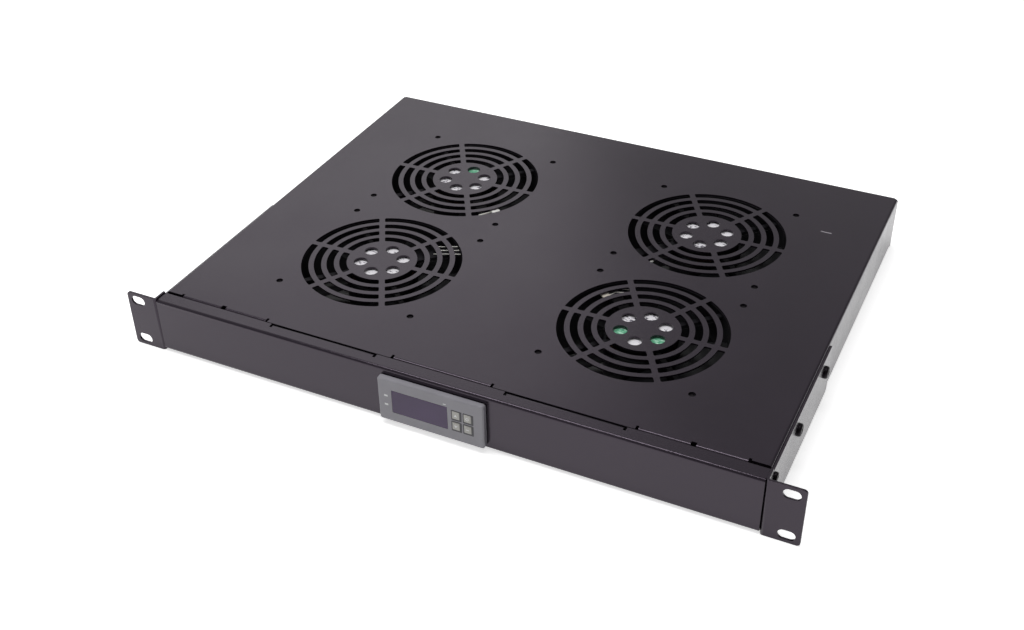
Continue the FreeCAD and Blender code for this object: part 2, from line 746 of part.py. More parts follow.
def rotor_shaft():
    return rod(shaft_d, rotor_bottom + hub_wall, motor_under - shaft_end_play)


def fan_bearings():
    """Two bearing rings, at the two ends of the tube."""
    ring = rod(bearing_d, 0, bearing_width).cut(bore(shaft_d + 2 * shaft_fit, -overcut, bearing_width + overcut))
    low = motor_under - bearing_tube_length
    return [moved(ring, z=low), moved(ring, z=motor_under - bearing_width)]


def fan_stator():
    """Wound core round the bearing tube, inside the hub."""
    r = hub_r - hub_wall - stator_clearance
    low = rotor_top - stator_height
    core = prism(hub_sides, r, low, rotor_top)
    cuts = [bore(2 * (bearing_tube_r + stator_fit), low - overcut, rotor_top + overcut)]
    slot = box(r - stator_slot_depth, r + overcut, -stator_slot_width / 2, stator_slot_width / 2,
               low - overcut, rotor_top + overcut)
    cuts += [turned(slot, k * 360.0 / stator_slots) for k in range(stator_slots)]
    return core.cut(cuts)


def fan_screw():
    """Hexagon-headed screw through both flanges into the top plate, head under the frame."""
    tip = plate_top - fan_screw_short
    head = moved(hex_prism(fan_screw_head_flats, fan_screw_head_h), z=fan_bottom - fan_screw_head_h)
    return fuse([head, rod(fan_screw_shank_d, fan_bottom, tip)])


def at_fans(shapes):
    """Copies of a fan's pieces at all four fans, in one group."""
    return Part.makeCompound([moved(s, x, y) for x, y in fan_centres.values() for s in shapes])


# ---------------------------------------------------------------- thermostat
def button_places():
    return {
        "up": (button_x - button_pitch_x / 2, thermostat_z + button_pitch_z / 2),
        "set": (button_x + button_pitch_x / 2, thermostat_z + button_pitch_z / 2),
        "down": (button_x - button_pitch_x / 2, thermostat_z - button_pitch_z / 2),
        "mode": (button_x + button_pitch_x / 2, thermostat_z - button_pitch_z / 2),
    }


def thermostat_bezel():
    plate = rounded_panel(bezel_width, bezel_height, bezel_depth, bezel_corner_r, 0, bezel_front, thermostat_z)
    front = [e for e in plate.Edges if all(abs(v.Y - bezel_front) < 1e-6 for v in e.Vertexes)]
    plate = plate.makeChamfer(bezel_front_chamfer, front)
    cuts = [centred_box(window_width, 2 * window_t, window_height, (window_x, bezel_front, thermostat_z)),
            centred_box(window_width - 2 * window_ledge, 3 * bezel_depth, window_height - 2 * window_ledge,
                        (window_x, bezel_front, thermostat_z))]
    pocket_y = bezel_front + button_wall
    for x, z in button_places().values():
        cuts.append(centred_box(button_width + 2 * button_gap, 3 * bezel_depth, button_height + 2 * button_gap,
                                (x, bezel_front, z)))
        reach = button_foot + button_gap
        cuts.append(box(x - button_width / 2 - reach, x + button_width / 2 + reach,
                        pocket_y, bezel_back + overcut,
                        z - button_height / 2 - reach, z + button_height / 2 + reach))
    return plate.cut(cuts)


def thermostat_window():
    return centred_box(window_width - 2 * window_gap, window_t, window_height - 2 * window_gap,
                       (window_x, bezel_front + window_t / 2, thermostat_z))


def thermostat_gasket():
    sheet_size = (bezel_width - 2 * gasket_setback, bezel_height - 2 * gasket_setback)
    pad = rounded_panel(*sheet_size, gasket_t, bezel_corner_r, 0, bezel_back, thermostat_z)
    return pad.cut(centred_box(body_width + 2 * cutout_clearance, 3 * gasket_t,
                               body_height + 2 * cutout_clearance,
                               (0, bezel_back + gasket_t / 2, thermostat_z)))


def thermostat_housing():
    back = front_y + body_depth
    shell = box(-body_width / 2, body_width / 2, bezel_back, back,
                thermostat_z - body_height / 2, thermostat_z + body_height / 2)
    inner_w = body_width - 2 * body_wall
    inner_h = body_height - 2 * body_wall
    return shell.cut(box(-inner_w / 2, inner_w / 2, bezel_back - overcut, back - body_wall,
                         thermostat_z - inner_h / 2, thermostat_z + inner_h / 2))


def thermostat_board():
    """Circuit board across the housing, with the display block and a switch behind each button."""
    width = body_width - 2 * body_wall - 2 * board_fit
    height = body_height - 2 * body_wall - 2 * board_fit
    display_y = bezel_front + window_t
    board_y = display_y + display_t
    pieces = [centred_box(width, board_t, height, (0, board_y + board_t / 2, thermostat_z)),
              centred_box(window_width - 2 * window_ledge - 2 * window_gap, display_t,
                          window_height - 2 * window_ledge - 2 * window_gap,
                          (window_x, display_y + display_t / 2, thermostat_z))]
    switch_y = button_stem_end() + button_travel + switch_play
    for x, z in button_places().values():
        pieces.append(box(x - switch_size / 2, x + switch_size / 2, switch_y, board_y,
                          z - switch_size / 2, z + switch_size / 2))
    return fuse(pieces)


def button_stem_end():
    return bezel_front + button_wall + button_foot_t + button_stem_length


def button(x, z):
    """Cap through the bezel, foot behind it and stem towards the switch."""
    foot_y = bezel_front + button_wall
    cap = box(x - button_width / 2, x + button_width / 2, bezel_front - button_proud, foot_y,
              z - button_height / 2, z + button_height / 2)
    rim = [e for e in cap.Edges if all(abs(v.Y - bezel_front + button_proud) < 1e-6 for v in e.Vertexes)]
    cap = cap.makeChamfer(button_edge, rim)
    foot = box(x - button_width / 2 - button_foot, x + button_width / 2 + button_foot,
               foot_y, foot_y + button_foot_t,
               z - button_height / 2 - button_foot, z + button_height / 2 + button_foot)
    stem = box(x - button_stem_r, x + button_stem_r, foot_y, button_stem_end(),
               z - button_stem_r, z + button_stem_r)
    return fuse([cap, foot, stem])


def thermostat_clips():
    """A spring bar on each side of the housing, pressed against the back of the panel."""
    bar = box(body_width / 2, body_width / 2 + clip_t, panel_inside, panel_inside + clip_length,
              thermostat_z - clip_width / 2, thermostat_z + clip_width / 2)
    return Part.makeCompound(both_sides([bar]))


def terminal_places():
    return [(k - (terminal_count - 1) / 2) * terminal_pitch for k in range(terminal_count)]


def thermostat_terminals():
    """Terminal strip on the housing's back, a well over each screw and a seat for each lead."""
    y0 = front_y + body_depth
    y1 = y0 + terminal_depth
    half = terminal_count * terminal_pitch / 2
    top = trunk_z + terminal_height / 2
    strip = box(-half, half, y0, y1, trunk_z - terminal_height / 2, top)
    cuts = []
    for x in terminal_places():
        cuts.append(centred_box(terminal_well, terminal_well, 2 * terminal_well_depth, (x, (y0 + y1) / 2, top)))
    for x, d in ((0, trunk_d), (sensor_x, sensor_d)):
        cuts.append(bore(d + 2 * lead_hole_fit, y1 - block_entry_depth, y1 + overcut, (x, trunk_z), "y"))
    return strip.cut(cuts)


def thermostat_terminal_screws():
    floor_z = trunk_z + terminal_height / 2 - terminal_well_depth
    y = front_y + body_depth + terminal_depth / 2
    return Part.makeCompound([rod(terminal_screw_d, floor_z, floor_z + block_screw_h, (x, y))
                              for x in terminal_places()])


# ---------------------------------------------------------------- mains inlet
def inlet_body():
    """Socket body through the rear wall, its flange outside."""
    outside = rear_y + inlet_flange_t
    flange = rounded_panel(inlet_flange_w, inlet_flange_h, inlet_flange_t, inlet_flange_r,
                           inlet_x, rear_y, inlet_z)
    inside = rear_y - inlet_body_depth
    shell = box(inlet_x - inlet_body_w / 2, inlet_x + inlet_body_w / 2, inside, rear_y,
                inlet_z - inlet_body_h / 2, inlet_z + inlet_body_h / 2)
    w, h, c = inlet_socket_w / 2, inlet_socket_h / 2, inlet_socket_corner
    outline = [(-w, -h), (w, -h), (w, h - c), (w - c, h), (-w + c, h), (-w, h - c), (-w, -h)]
    floor_y = outside - inlet_socket_depth
    mouth = Part.Face(Part.makePolygon([Vector(inlet_x + x, floor_y, inlet_z + z) for x, z in outline]))
    cuts = [mouth.extrude(Vector(0, inlet_socket_depth + overcut, 0))]
    for x, z in inlet_pin_places():
        cuts.append(centred_box(inlet_pin_w, 2 * inlet_body_depth, inlet_pin_h, (x, floor_y, z)))
    for side in (-1, 1):
        cuts.append(bore(front_screw_d + hole_clearance, rear_y - overcut, outside + overcut,
                         (inlet_x + side * inlet_screw_pitch / 2, inlet_z), "y"))
    return fuse([flange, shell]).cut(cuts)


def inlet_pin_places():
    return [(inlet_x - inlet_pin_spacing, inlet_z - inlet_earth_rise),
            (inlet_x + inlet_pin_spacing, inlet_z - inlet_earth_rise),
            (inlet_x, inlet_z + inlet_earth_rise)]


def inlet_pins():
    tip = rear_y + inlet_flange_t - inlet_pin_recess
    tail = rear_y - inlet_body_depth - inlet_tab_length
    return Part.makeCompound([box(x - inlet_pin_w / 2, x + inlet_pin_w / 2, tail, tip,
                                  z - inlet_pin_h / 2, z + inlet_pin_h / 2) for x, z in inlet_pin_places()])


def inlet_screws():
    length = inlet_flange_t + sheet + front_nut_h + screw_tail
    one = turned(pan_screw(front_screw_d, length, front_screw_head_d, front_screw_head_h), -90, Vector(1, 0, 0))
    outside = rear_y + inlet_flange_t
    return Part.makeCompound([moved(one, inlet_x + side * inlet_screw_pitch / 2, outside, inlet_z)
                              for side in (-1, 1)])


def inlet_nuts():
    one = turned(nut(front_nut_flats, front_nut_h, front_screw_d + 2 * shaft_fit), 90, Vector(1, 0, 0))
    return Part.makeCompound([moved(one, inlet_x + side * inlet_screw_pitch / 2, rear_y - sheet, inlet_z)
                              for side in (-1, 1)])


def inlet_boot():
    """Insulating boot over the tabs, with a sleeve hole for the supply lead."""
    front = rear_y - inlet_body_depth
    back = front - boot_length
    shell = box(inlet_x - boot_w / 2, inlet_x + boot_w / 2, back, front,
                inlet_z - boot_h / 2, inlet_z + boot_h / 2)
    inner_w = boot_w - 2 * boot_wall
    inner_h = boot_h - 2 * boot_wall
    cuts = [box(inlet_x - inner_w / 2, inlet_x + inner_w / 2, back + 2 * boot_wall, front + overcut,
                inlet_z - inner_h / 2, inlet_z + inner_h / 2),
            bore(trunk_d + 2 * lead_hole_fit, back - overcut, back + 3 * boot_wall, (inlet_x, trunk_z), "y")]
    return shell.cut(cuts)


# ---------------------------------------------------------------- wiring
def pole_places():
    return [tray_middle_y + (k - (block_poles - 1) / 2) * block_pole_pitch for k in range(block_poles)]


def terminal_block():
    """Block of poles along the lane, screwed up to two studs, with entries in its sides and ends."""
    half_l = block_length / 2
    half_w = block_width / 2
    low = plate_under - block_height
    body = box(-half_w, half_w, tray_middle_y - half_l, tray_middle_y + half_l, low, plate_under)
    cuts = []
    for y in block_stud_places():
        cuts.append(bore(block_stud_d + hole_clearance, low - overcut, plate_under + overcut, (0, y)))
        cuts.append(bore(block_nut_well_d, low - overcut, plate_under - block_floor, (0, y)))
    for side in (-1, 1):
        end = tray_middle_y + side * half_l
        y0, y1 = sorted((end - side * block_entry_depth, end + side * overcut))
        cuts.append(bore(trunk_d + 2 * lead_hole_fit, y0, y1, (0, trunk_z), "y"))
        x0, x1 = sorted((side * (half_w - block_entry_depth), side * (half_w + overcut)))
        for y in (pole_places()[0], pole_places()[-1]):
            cuts.append(bore(lead_d + 2 * lead_hole_fit, x0, x1, (y, lead_z), "x"))
        for y in pole_places():
            cuts.append(centred_box(terminal_well, terminal_well, 2 * block_screw_well,
                                    (side * block_screw_x, y, low)))
    return body.cut(cuts)


def terminal_block_screws():
    top = plate_under - block_height + block_screw_well
    return Part.makeCompound([rod(block_screw_d, top - block_screw_h, top, (side * block_screw_x, y))
                              for y in pole_places() for side in (-1, 1)])


def terminal_block_nuts():
    seat = plate_under - block_floor
    one = nut(front_nut_flats, front_nut_h, block_stud_d + 2 * shaft_fit)
    return Part.makeCompound([moved(one, 0, y, seat - front_nut_h) for y in block_stud_places()])


def fan_lead(name):
    """From the hole in the frame's ring, across the lane and into the block's end pole on that side."""
    cx, cy = fan_centres[name]
    side = math.copysign(1.0, cx)
    towards = math.copysign(1.0, tray_middle_y - cy)
    ring_r = fan_bore_r + fan_ring_wall
    y = cy + towards * ring_r * math.sin(math.pi / 4)
    far = side * (abs(cx) - (ring_r - fan_ring_wall / 2) * math.cos(math.pi / 4))
    near = side * (block_width / 2 - block_entry_depth)
    return rod(lead_d, min(far, near), max(far, near), (y, lead_z), "x")


def thermostat_lead():
    start = front_y + body_depth + terminal_depth - block_entry_depth
    end = tray_middle_y - block_length / 2 + block_entry_depth
    return rod(trunk_d, start, end, (0, trunk_z), "y")


def supply_lead():
    start = tray_middle_y + block_length / 2 - block_entry_depth
    end = rear_y - inlet_body_depth - boot_length + boot_wall
    return rod(trunk_d, start, end, (inlet_x, trunk_z), "y")


def sensor_lead():
    start = front_y + body_depth + terminal_depth - block_entry_depth
    return rod(sensor_d, start, probe_y, (sensor_x, trunk_z), "y")


def sensor_probe():
    return rod(probe_d, probe_y, probe_y + probe_length, (sensor_x, trunk_z), "y")


def clip(x, y, d):
    """Clip stuck under the plate, closed round a lead."""
    half = d / 2 + lead_hole_fit + clip_wall
    block = box(x - half, x + half, y - clip_depth / 2, y + clip_depth / 2, trunk_z - half, plate_under)
    return block.cut(bore(d + 2 * lead_hole_fit, y - clip_depth, y + clip_depth, (x, trunk_z), "y"))


def lead_clips():
    clips = [clip(0, y, trunk_d) for y in trunk_clips_y]
    return Part.makeCompound(clips + [clip(sensor_x, probe_clip_y, probe_d)])


# ---------------------------------------------------------------- all nodes
def main():
    os.makedirs("parts", exist_ok=True)
    right_ear = rack_ear()
    save(chassis(), "chassis")
    save(front_panel(), "front_panel")
    save(panel_nuts(), "panel_nuts")
    save(right_ear, "rack_ear_right")
    save(mirrored(right_ear), "rack_ear_left")
    save(ear_screws(), "ear_screws")
    save(ear_nuts(), "ear_nuts")
    rotor = fan_rotor()
    shaft = rotor_shaft()
    for name, (x, y) in fan_centres.items():
        corner = math.degrees(math.atan2(math.copysign(1, tray_middle_y - y), math.copysign(1, -x)))
        save(moved(fan_frame(corner), x, y), "fan_frame_" + name)
        save(moved(rotor, x, y), "fan_rotor_" + name)
        save(moved(shaft, x, y), "fan_shaft_" + name)
        save(fan_lead(name), "fan_lead_" + name)
    save(at_fans(fan_bearings()), "fan_bearings")
    save(at_fans([fan_stator()]), "fan_stators")
    save(at_fans([moved(fan_screw(), dx, dy) for dx, dy in fan_hole_places()]), "fan_screws")
    save(thermostat_bezel(), "thermostat_bezel")
    save(thermostat_window(), "thermostat_window")
    save(thermostat_gasket(), "thermostat_gasket")
    save(thermostat_housing(), "thermostat_housing")
    save(thermostat_board(), "thermostat_board")
    save(thermostat_clips(), "thermostat_clips")
    save(thermostat_terminals(), "thermostat_terminals")
    save(thermostat_terminal_screws(), "thermostat_terminal_screws")
    for name, (x, z) in button_places().items():
        save(button(x, z), "button_" + name)
    save(inlet_body(), "inlet_body")
    save(inlet_pins(), "inlet_pins")
    save(inlet_screws(), "inlet_screws")
    save(inlet_nuts(), "inlet_nuts")
    save(inlet_boot(), "inlet_boot")
    save(terminal_block(), "terminal_block")
    save(terminal_block_screws(), "terminal_block_screws")
    save(terminal_block_nuts(), "terminal_block_nuts")
    save(thermostat_lead(), "thermostat_lead")
    save(supply_lead(), "supply_lead")
    save(sensor_lead(), "sensor_lead")
    save(sensor_probe(), "sensor_probe")
    save(lead_clips(), "lead_clips")


if __name__ == "__main__":
    main()
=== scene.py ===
import math

import bmesh
import bpy
from mathutils import Matrix, Vector


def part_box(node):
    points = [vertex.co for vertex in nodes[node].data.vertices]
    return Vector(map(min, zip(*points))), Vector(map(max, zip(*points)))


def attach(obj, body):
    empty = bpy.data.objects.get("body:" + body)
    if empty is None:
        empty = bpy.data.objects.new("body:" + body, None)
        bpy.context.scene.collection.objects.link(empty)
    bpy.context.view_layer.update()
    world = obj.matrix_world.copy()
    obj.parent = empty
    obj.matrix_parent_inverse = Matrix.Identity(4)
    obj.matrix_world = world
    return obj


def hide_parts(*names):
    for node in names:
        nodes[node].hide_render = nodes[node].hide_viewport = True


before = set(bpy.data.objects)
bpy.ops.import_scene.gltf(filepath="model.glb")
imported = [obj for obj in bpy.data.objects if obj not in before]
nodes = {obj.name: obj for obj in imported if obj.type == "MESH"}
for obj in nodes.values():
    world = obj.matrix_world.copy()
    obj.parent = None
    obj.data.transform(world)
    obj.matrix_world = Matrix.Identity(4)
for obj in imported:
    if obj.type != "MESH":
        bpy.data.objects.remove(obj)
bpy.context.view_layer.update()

scene = bpy.context.scene
MM = 0.001
WELD = 1e-7            # vertices closer than this are one, in metres
TOUCH = 1e-6           # and this close to a plane they lie on it
NEAR = 0.01 * MM       # this close to a face they belong to its edge
CORNERS = ("front_left", "front_right", "rear_left", "rear_right")


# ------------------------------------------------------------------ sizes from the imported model
tray_low, tray_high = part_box("chassis")
plate_top = tray_high.z
frame_low, plate_under = (v.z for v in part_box("fan_frame_front_left"))
rotor_low, rotor_top = (v.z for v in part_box("fan_rotor_front_left"))
centres = {}
for corner in CORNERS:
    low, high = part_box("fan_frame_" + corner)
    centres[corner] = ((low.x + high.x) / 2, (low.y + high.y) / 2)


# ------------------------------------------------------------------ node materials
def new_material(name, colour, rough, metallic=0.0, **sockets):
    """A Principled material; returns it with its nodes, so that texture can be added."""
    mat = bpy.data.materials.new(name)
    mat.use_nodes = True
    tree = mat.node_tree
    shader = tree.nodes["Principled BSDF"]
    shader.inputs["Base Color"].default_value = (*colour, 1)
    shader.inputs["Roughness"].default_value = rough
    shader.inputs["Metallic"].default_value = metallic
    for key, value in sockets.items():
        shader.inputs[key.replace("_", " ")].default_value = value
    return mat, tree, shader


def object_coords(tree):
    """Places in the object's own metres."""
    return tree.nodes.new("ShaderNodeTexCoord").outputs["Object"]


def split_xyz(tree, vector):
    """The coordinates of a vector, by name."""
    node = tree.nodes.new("ShaderNodeSeparateXYZ")
    tree.links.new(vector, node.inputs[0])
    return node.outputs


def noise(tree, scale, detail, rough, stretch=None):
    """Noise in the object's own metres; stretch squeezes it along an axis."""
    node = tree.nodes.new("ShaderNodeTexNoise")
    node.inputs["Scale"].default_value = scale
    node.inputs["Detail"].default_value = detail
    node.inputs["Roughness"].default_value = rough
    coords = object_coords(tree)
    if stretch:
        mapping = tree.nodes.new("ShaderNodeMapping")
        mapping.inputs["Scale"].default_value = stretch
        tree.links.new(coords, mapping.inputs["Vector"])
        coords = mapping.outputs["Vector"]
    tree.links.new(coords, node.inputs["Vector"])
    return node.outputs["Fac"]


def ramp(tree, fac, stops):
    """Colour ramp through (position, colour) stops."""
    node = tree.nodes.new("ShaderNodeValToRGB")
    elements = node.color_ramp.elements
    while len(elements) < len(stops):
        elements.new(0.5)
    for element, (at, colour) in zip(elements, stops):
        element.position = at
        element.color = (*colour, 1)
    tree.links.new(fac, node.inputs["Fac"])
    return node.outputs["Color"]


def bump(tree, shader, height, strength, distance):
    """Fine relief on the shader, its height in metres at most distance."""
    node = tree.nodes.new("ShaderNodeBump")
    node.inputs["Strength"].default_value = strength
    node.inputs["Distance"].default_value = distance
    tree.links.new(height, node.inputs["Height"])
    tree.links.new(node.outputs["Normal"], shader.inputs["Normal"])


def maths(tree, kind, a, b=0.0):
    """One sum on numbers or sockets."""
    node = tree.nodes.new("ShaderNodeMath")
    node.operation = kind
    for socket, value in zip(node.inputs, (a, b)):
        if isinstance(value, (int, float)):
            socket.default_value = value
        else:
            tree.links.new(value, socket)
    return node.outputs[0]


def off_middle(tree, value, middle):
    """Distance of a coordinate from a middle."""
    return maths(tree, "ABSOLUTE", maths(tree, "SUBTRACT", value, middle))


def mixed(tree, fac, a, b):
    """Mix of two colours or colour sockets."""
    node = tree.nodes.new("ShaderNodeMix")
    node.data_type = "RGBA"
    tree.links.new(fac, node.inputs["Factor"])
    for socket, value in ((node.inputs["A"], a), (node.inputs["B"], b)):
        if isinstance(value, tuple):
            socket.default_value = (*value, 1)
        else:
            tree.links.new(value, socket)
    return node.outputs["Result"]


def eased(tree, value, low, high, out_low=0.0, out_high=1.0):
    """Smooth step of a value between two limits."""
    node = tree.nodes.new("ShaderNodeMapRange")
    node.interpolation_type = "SMOOTHSTEP"
    for name, number in (("From Min", low), ("From Max", high),
                         ("To Min", out_low), ("To Max", out_high)):
        node.inputs[name].default_value = number
    tree.links.new(value, node.inputs["Value"])
    return node.outputs["Result"]


def scaled(colour, k):
    """A colour made lighter or darker."""
    return tuple(c * k for c in colour)


def uneven_gloss(tree, shader, fac, rough, low, high):
    """Roughness that follows a noise; low and high are (position, difference from rough)."""
    stops = [(at, (rough + change,) * 3) for at, change in (low, high)]
    tree.links.new(ramp(tree, fac, stops), shader.inputs["Roughness"])


COAT_TINT = (0.96, 0.82, 1.0)          # the coat's highlights lean towards purple
BARE_SCUFF = (0.3, 0.28, 0.31)
SCUFF_FLOOR = plate_top - 0.3 * MM     # the scuff shows above this height only


def powder_coat(name, colour, rough=0.2, shine=0.52, scuff=None):
    """Satin powder coat: orange peel, faint clouds, specks of dust and a short scuff if asked.

    The scuff is its middle (x, y) and its half sizes (x, y), in metres."""
    mat, tree, shader = new_material(name, colour, rough)
    shader.inputs["Specular Tint"].default_value = (*COAT_TINT, 1)
    shader.inputs["Specular IOR Level"].default_value = shine
    clouds = noise(tree, 14, 4, 0.6)
    specks = noise(tree, 900, 2, 0.5)
    tone = ramp(tree, clouds, ((0.3, scaled(colour, 0.85)), (0.7, scaled(colour, 1.18))))
    dust = ramp(tree, specks, ((0.73, (0, 0, 0)), (0.8, (1, 1, 1))))
    colour_out = mixed(tree, dust, tone, scaled(colour, 2.6))
    if scuff:
        place = split_xyz(tree, object_coords(tree))
        away = [maths(tree, "DIVIDE", off_middle(tree, place[axis], middle), half)
                for axis, middle, half in zip("XY", scuff[:2], scuff[2:])]
        ragged = maths(tree, "MULTIPLY", noise(tree, 700, 3, 0.6), 0.9)
        worn = maths(tree, "ADD", maths(tree, "MAXIMUM", *away), ragged)
        share = maths(tree, "MULTIPLY", eased(tree, worn, 1.1, 1.45, 1.0, 0.0),
                      maths(tree, "GREATER_THAN", place["Z"], SCUFF_FLOOR))
        colour_out = mixed(tree, share, colour_out, BARE_SCUFF)
    tree.links.new(colour_out, shader.inputs["Base Color"])
    uneven_gloss(tree, shader, clouds, rough, (0.25, -0.05), (0.75, 0.06))
    bump(tree, shader, noise(tree, 1600, 3, 0.6), 0.16, 0.4 * MM)
    return mat


def moulded(name, colour, rough=0.45, grain=1200, strength=0.12, **sockets):
    """Moulded plastic: fine spark-eroded grain and faint flow marks."""
    mat, tree, shader = new_material(name, colour, rough, **sockets)
    flow = noise(tree, 60, 3, 0.5)
    tone = ramp(tree, flow, ((0.3, scaled(colour, 0.92)), (0.7, scaled(colour, 1.08))))
    tree.links.new(tone, shader.inputs["Base Color"])
    uneven_gloss(tree, shader, flow, rough, (0.3, -0.04), (0.7, 0.05))
    bump(tree, shader, noise(tree, grain, 2, 0.5), strength, 0.2 * MM)
    return mat


def bare_metal(name, colour, rough=0.3, stretch=(1, 1, 12)):
    """Drawn or plated metal with fine lines and cloudy dullness."""
    mat, tree, shader = new_material(name, colour, rough, 1.0)
    lines = noise(tree, 700, 3, 0.6, stretch)
    clouds = noise(tree, 90, 3, 0.5)
    tone = ramp(tree, clouds, ((0.3, scaled(colour, 0.82)), (0.7, scaled(colour, 1.08))))
    tree.links.new(tone, shader.inputs["Base Color"])
    uneven_gloss(tree, shader, lines, rough, (0.2, -0.08), (0.8, 0.12))
    bump(tree, shader, lines, 0.1, 0.2 * MM)
    return mat


def printed(name, colour, rough, tone_of):
    """Printed paper; tone_of makes its colour from the node tree."""
    mat, tree, shader = new_material(name, colour, rough)
    tree.links.new(tone_of(tree), shader.inputs["Base Color"])
    bump(tree, shader, noise(tree, 900, 2, 0.5), 0.1, 0.1 * MM)
    return mat


COAT_BLACK = (0.0085, 0.0056, 0.0098)
PLATE_SCUFF = (179.4 * MM, 275.6 * MM, 4.4 * MM, 0.7 * MM)
coat = powder_coat("black_coat", COAT_BLACK)
plate_coat = powder_coat("black_coat_plate", COAT_BLACK, scuff=PLATE_SCUFF)
cast = powder_coat("cast_frame_paint", (0.006, 0.006, 0.007), 0.5, 0.1)
oxide = powder_coat("black_oxide", (0.004, 0.0035, 0.004), 0.4, 0.15)
zinc = bare_metal("zinc_plate", (0.62, 0.62, 0.64))
steel = bare_metal("ground_steel", (0.56, 0.56, 0.57), 0.25)
brass = bare_metal("plated_pins", (0.66, 0.62, 0.52), 0.25)
copper = bare_metal("winding_copper", (0.45, 0.2, 0.1), 0.4, (1, 1, 30))
black_plastic = moulded("black_plastic", (0.018, 0.018, 0.019))
rotor_plastic = moulded("rotor_plastic", (0.006, 0.006, 0.007), Specular_IOR_Level=0.1)
grey_plastic = moulded("bezel_plastic", (0.27, 0.262, 0.29), 0.38)
# dark paint for the sheets that stand in for the shade beside the buttons
well_plastic = moulded("well_plastic", (0.05, 0.048, 0.055), 0.5)
button_plastic = moulded("button_plastic", (0.46, 0.45, 0.42), 0.42)
cream_plastic = moulded("cream_plastic", (0.6, 0.55, 0.48))
white_plastic = moulded("white_plastic", (0.82, 0.81, 0.78), 0.4)
green_plastic = moulded("green_plastic", (0.03, 0.2, 0.08), 0.4)
board_green = moulded("board_green", (0.02, 0.12, 0.05), 0.3)
rubber = moulded("gasket_rubber", (0.02, 0.02, 0.02), 0.7, 2500, 0.3)
sheath_black = moulded("sheath_black", (0.02, 0.02, 0.021), 0.5, 500, 0.2)
sheath_grey = moulded("sheath_grey", (0.25, 0.25, 0.26), 0.5, 500, 0.2)
sheath_white = moulded("sheath_white", (0.74, 0.73, 0.68), 0.45, 500, 0.2)
print_white = moulded("print_white", (0.75, 0.75, 0.76), 0.5)


# ------------------------------------------------------------------ mesh helpers
def finish_piece(bm, name, body, mat, replaces=(), sharp=32.0, flat=False):
    """bmesh -> object that rides on a body, smooth apart from its sharp edges.

    With flat, the faces that lie along an axis plane are shaded flat as well."""
    mesh = bpy.data.meshes.new(name)
    bm.to_mesh(mesh)
    bm.free()
    mesh.materials.append(mat)
    mesh.shade_smooth()
    mesh.set_sharp_from_angle(angle=math.radians(sharp))
    if flat:
        for face in mesh.polygons:
            face.use_smooth = max(abs(c) for c in face.normal) < 0.99999
    obj = bpy.data.objects.new(name, mesh)
    scene.collection.objects.link(obj)
    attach(obj, body)
    if replaces:
        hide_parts(*([replaces] if isinstance(replaces, str) else replaces))


def joined(parts):
    """Several bmeshes in one; each is freed."""
    whole = bmesh.new()
    for part in parts:
        mesh = bpy.data.meshes.new("part")
        part.to_mesh(mesh)
        part.free()
        whole.from_mesh(mesh)
        bpy.data.meshes.remove(mesh)
    return whole


def shifted(bm, x=0.0, y=0.0, z=0.0):
    """Moves a bmesh and returns it."""
    bmesh.ops.translate(bm, vec=(x, y, z), verts=bm.verts)
    return bm


def spun(bm, degrees, axis="Z"):
    """Turns a bmesh about an axis through the origin and returns it."""
    turn = Matrix.Rotation(math.radians(degrees), 3, axis)
    bmesh.ops.rotate(bm, cent=(0, 0, 0), matrix=turn, verts=bm.verts)
    return bm


def bevelled(bm, edges, offset, segments=2):
    """Rounds edges of a bmesh."""
    bmesh.ops.bevel(bm, geom=edges, offset=offset, segments=segments, profile=0.5,
                    affect="EDGES", clamp_overlap=True)


def revolved(profile, steps, closed=False):
    """Surface of revolution about Z from (radius, z) points; radius 0 closes an end."""
    bm = bmesh.new()
    rings = []
    for r, z in profile:
        if r < 1e-9:
            rings.append([bm.verts.new((0, 0, z))] * steps)
        else:
            rings.append([bm.verts.new((x, y, z)) for x, y in circle(r, steps)])
    pairs = list(zip(rings, rings[1:])) + ([(rings[-1], rings[0])] if closed else [])
    for low, high in pairs:
        for k in range(steps):
            j = (k + 1) % steps
            corners = []
            for v in (low[k], low[j], high[j], high[k]):
                if v not in corners:
                    corners.append(v)
            if len(corners) > 2:
                bm.faces.new(corners)
    bmesh.ops.recalc_face_normals(bm, faces=bm.faces)
    return bm


def disc(r, z0, z1, steps):
    """Upright round plate."""
    return revolved([(0, z0), (r, z0), (r, z1), (0, z1)], steps)


def rod(r, z0, z1, edge, steps):
    """Upright round bar with chamfered ends."""
    return revolved([(0, z0), (r - edge, z0), (r, z0 + edge), (r, z1 - edge), (r - edge, z1),
                     (0, z1)], steps)


def bar(start, end, r, steps):
    """Round bar between two points."""
    way = Vector(end) - Vector(start)
    bm = rod(r, 0, way.length, r * 0.08, steps)
    turn = Vector((0, 0, 1)).rotation_difference(way).to_matrix()
    bmesh.ops.rotate(bm, cent=(0, 0, 0), matrix=turn, verts=bm.verts)
    return shifted(bm, *start)


def block(low, high, edge=0.0, segments=2):
    """Box between two corners with its edges rounded."""
    bm = bmesh.new()
    bmesh.ops.create_cube(bm, size=1)
    low, high = Vector(low), Vector(high)
    for v in bm.verts:
        v.co = Vector(l + (h - l) * (c + 0.5) for l, h, c in zip(low, high, v.co))
    if edge:
        bevelled(bm, bm.edges[:], edge, segments)
    return bm


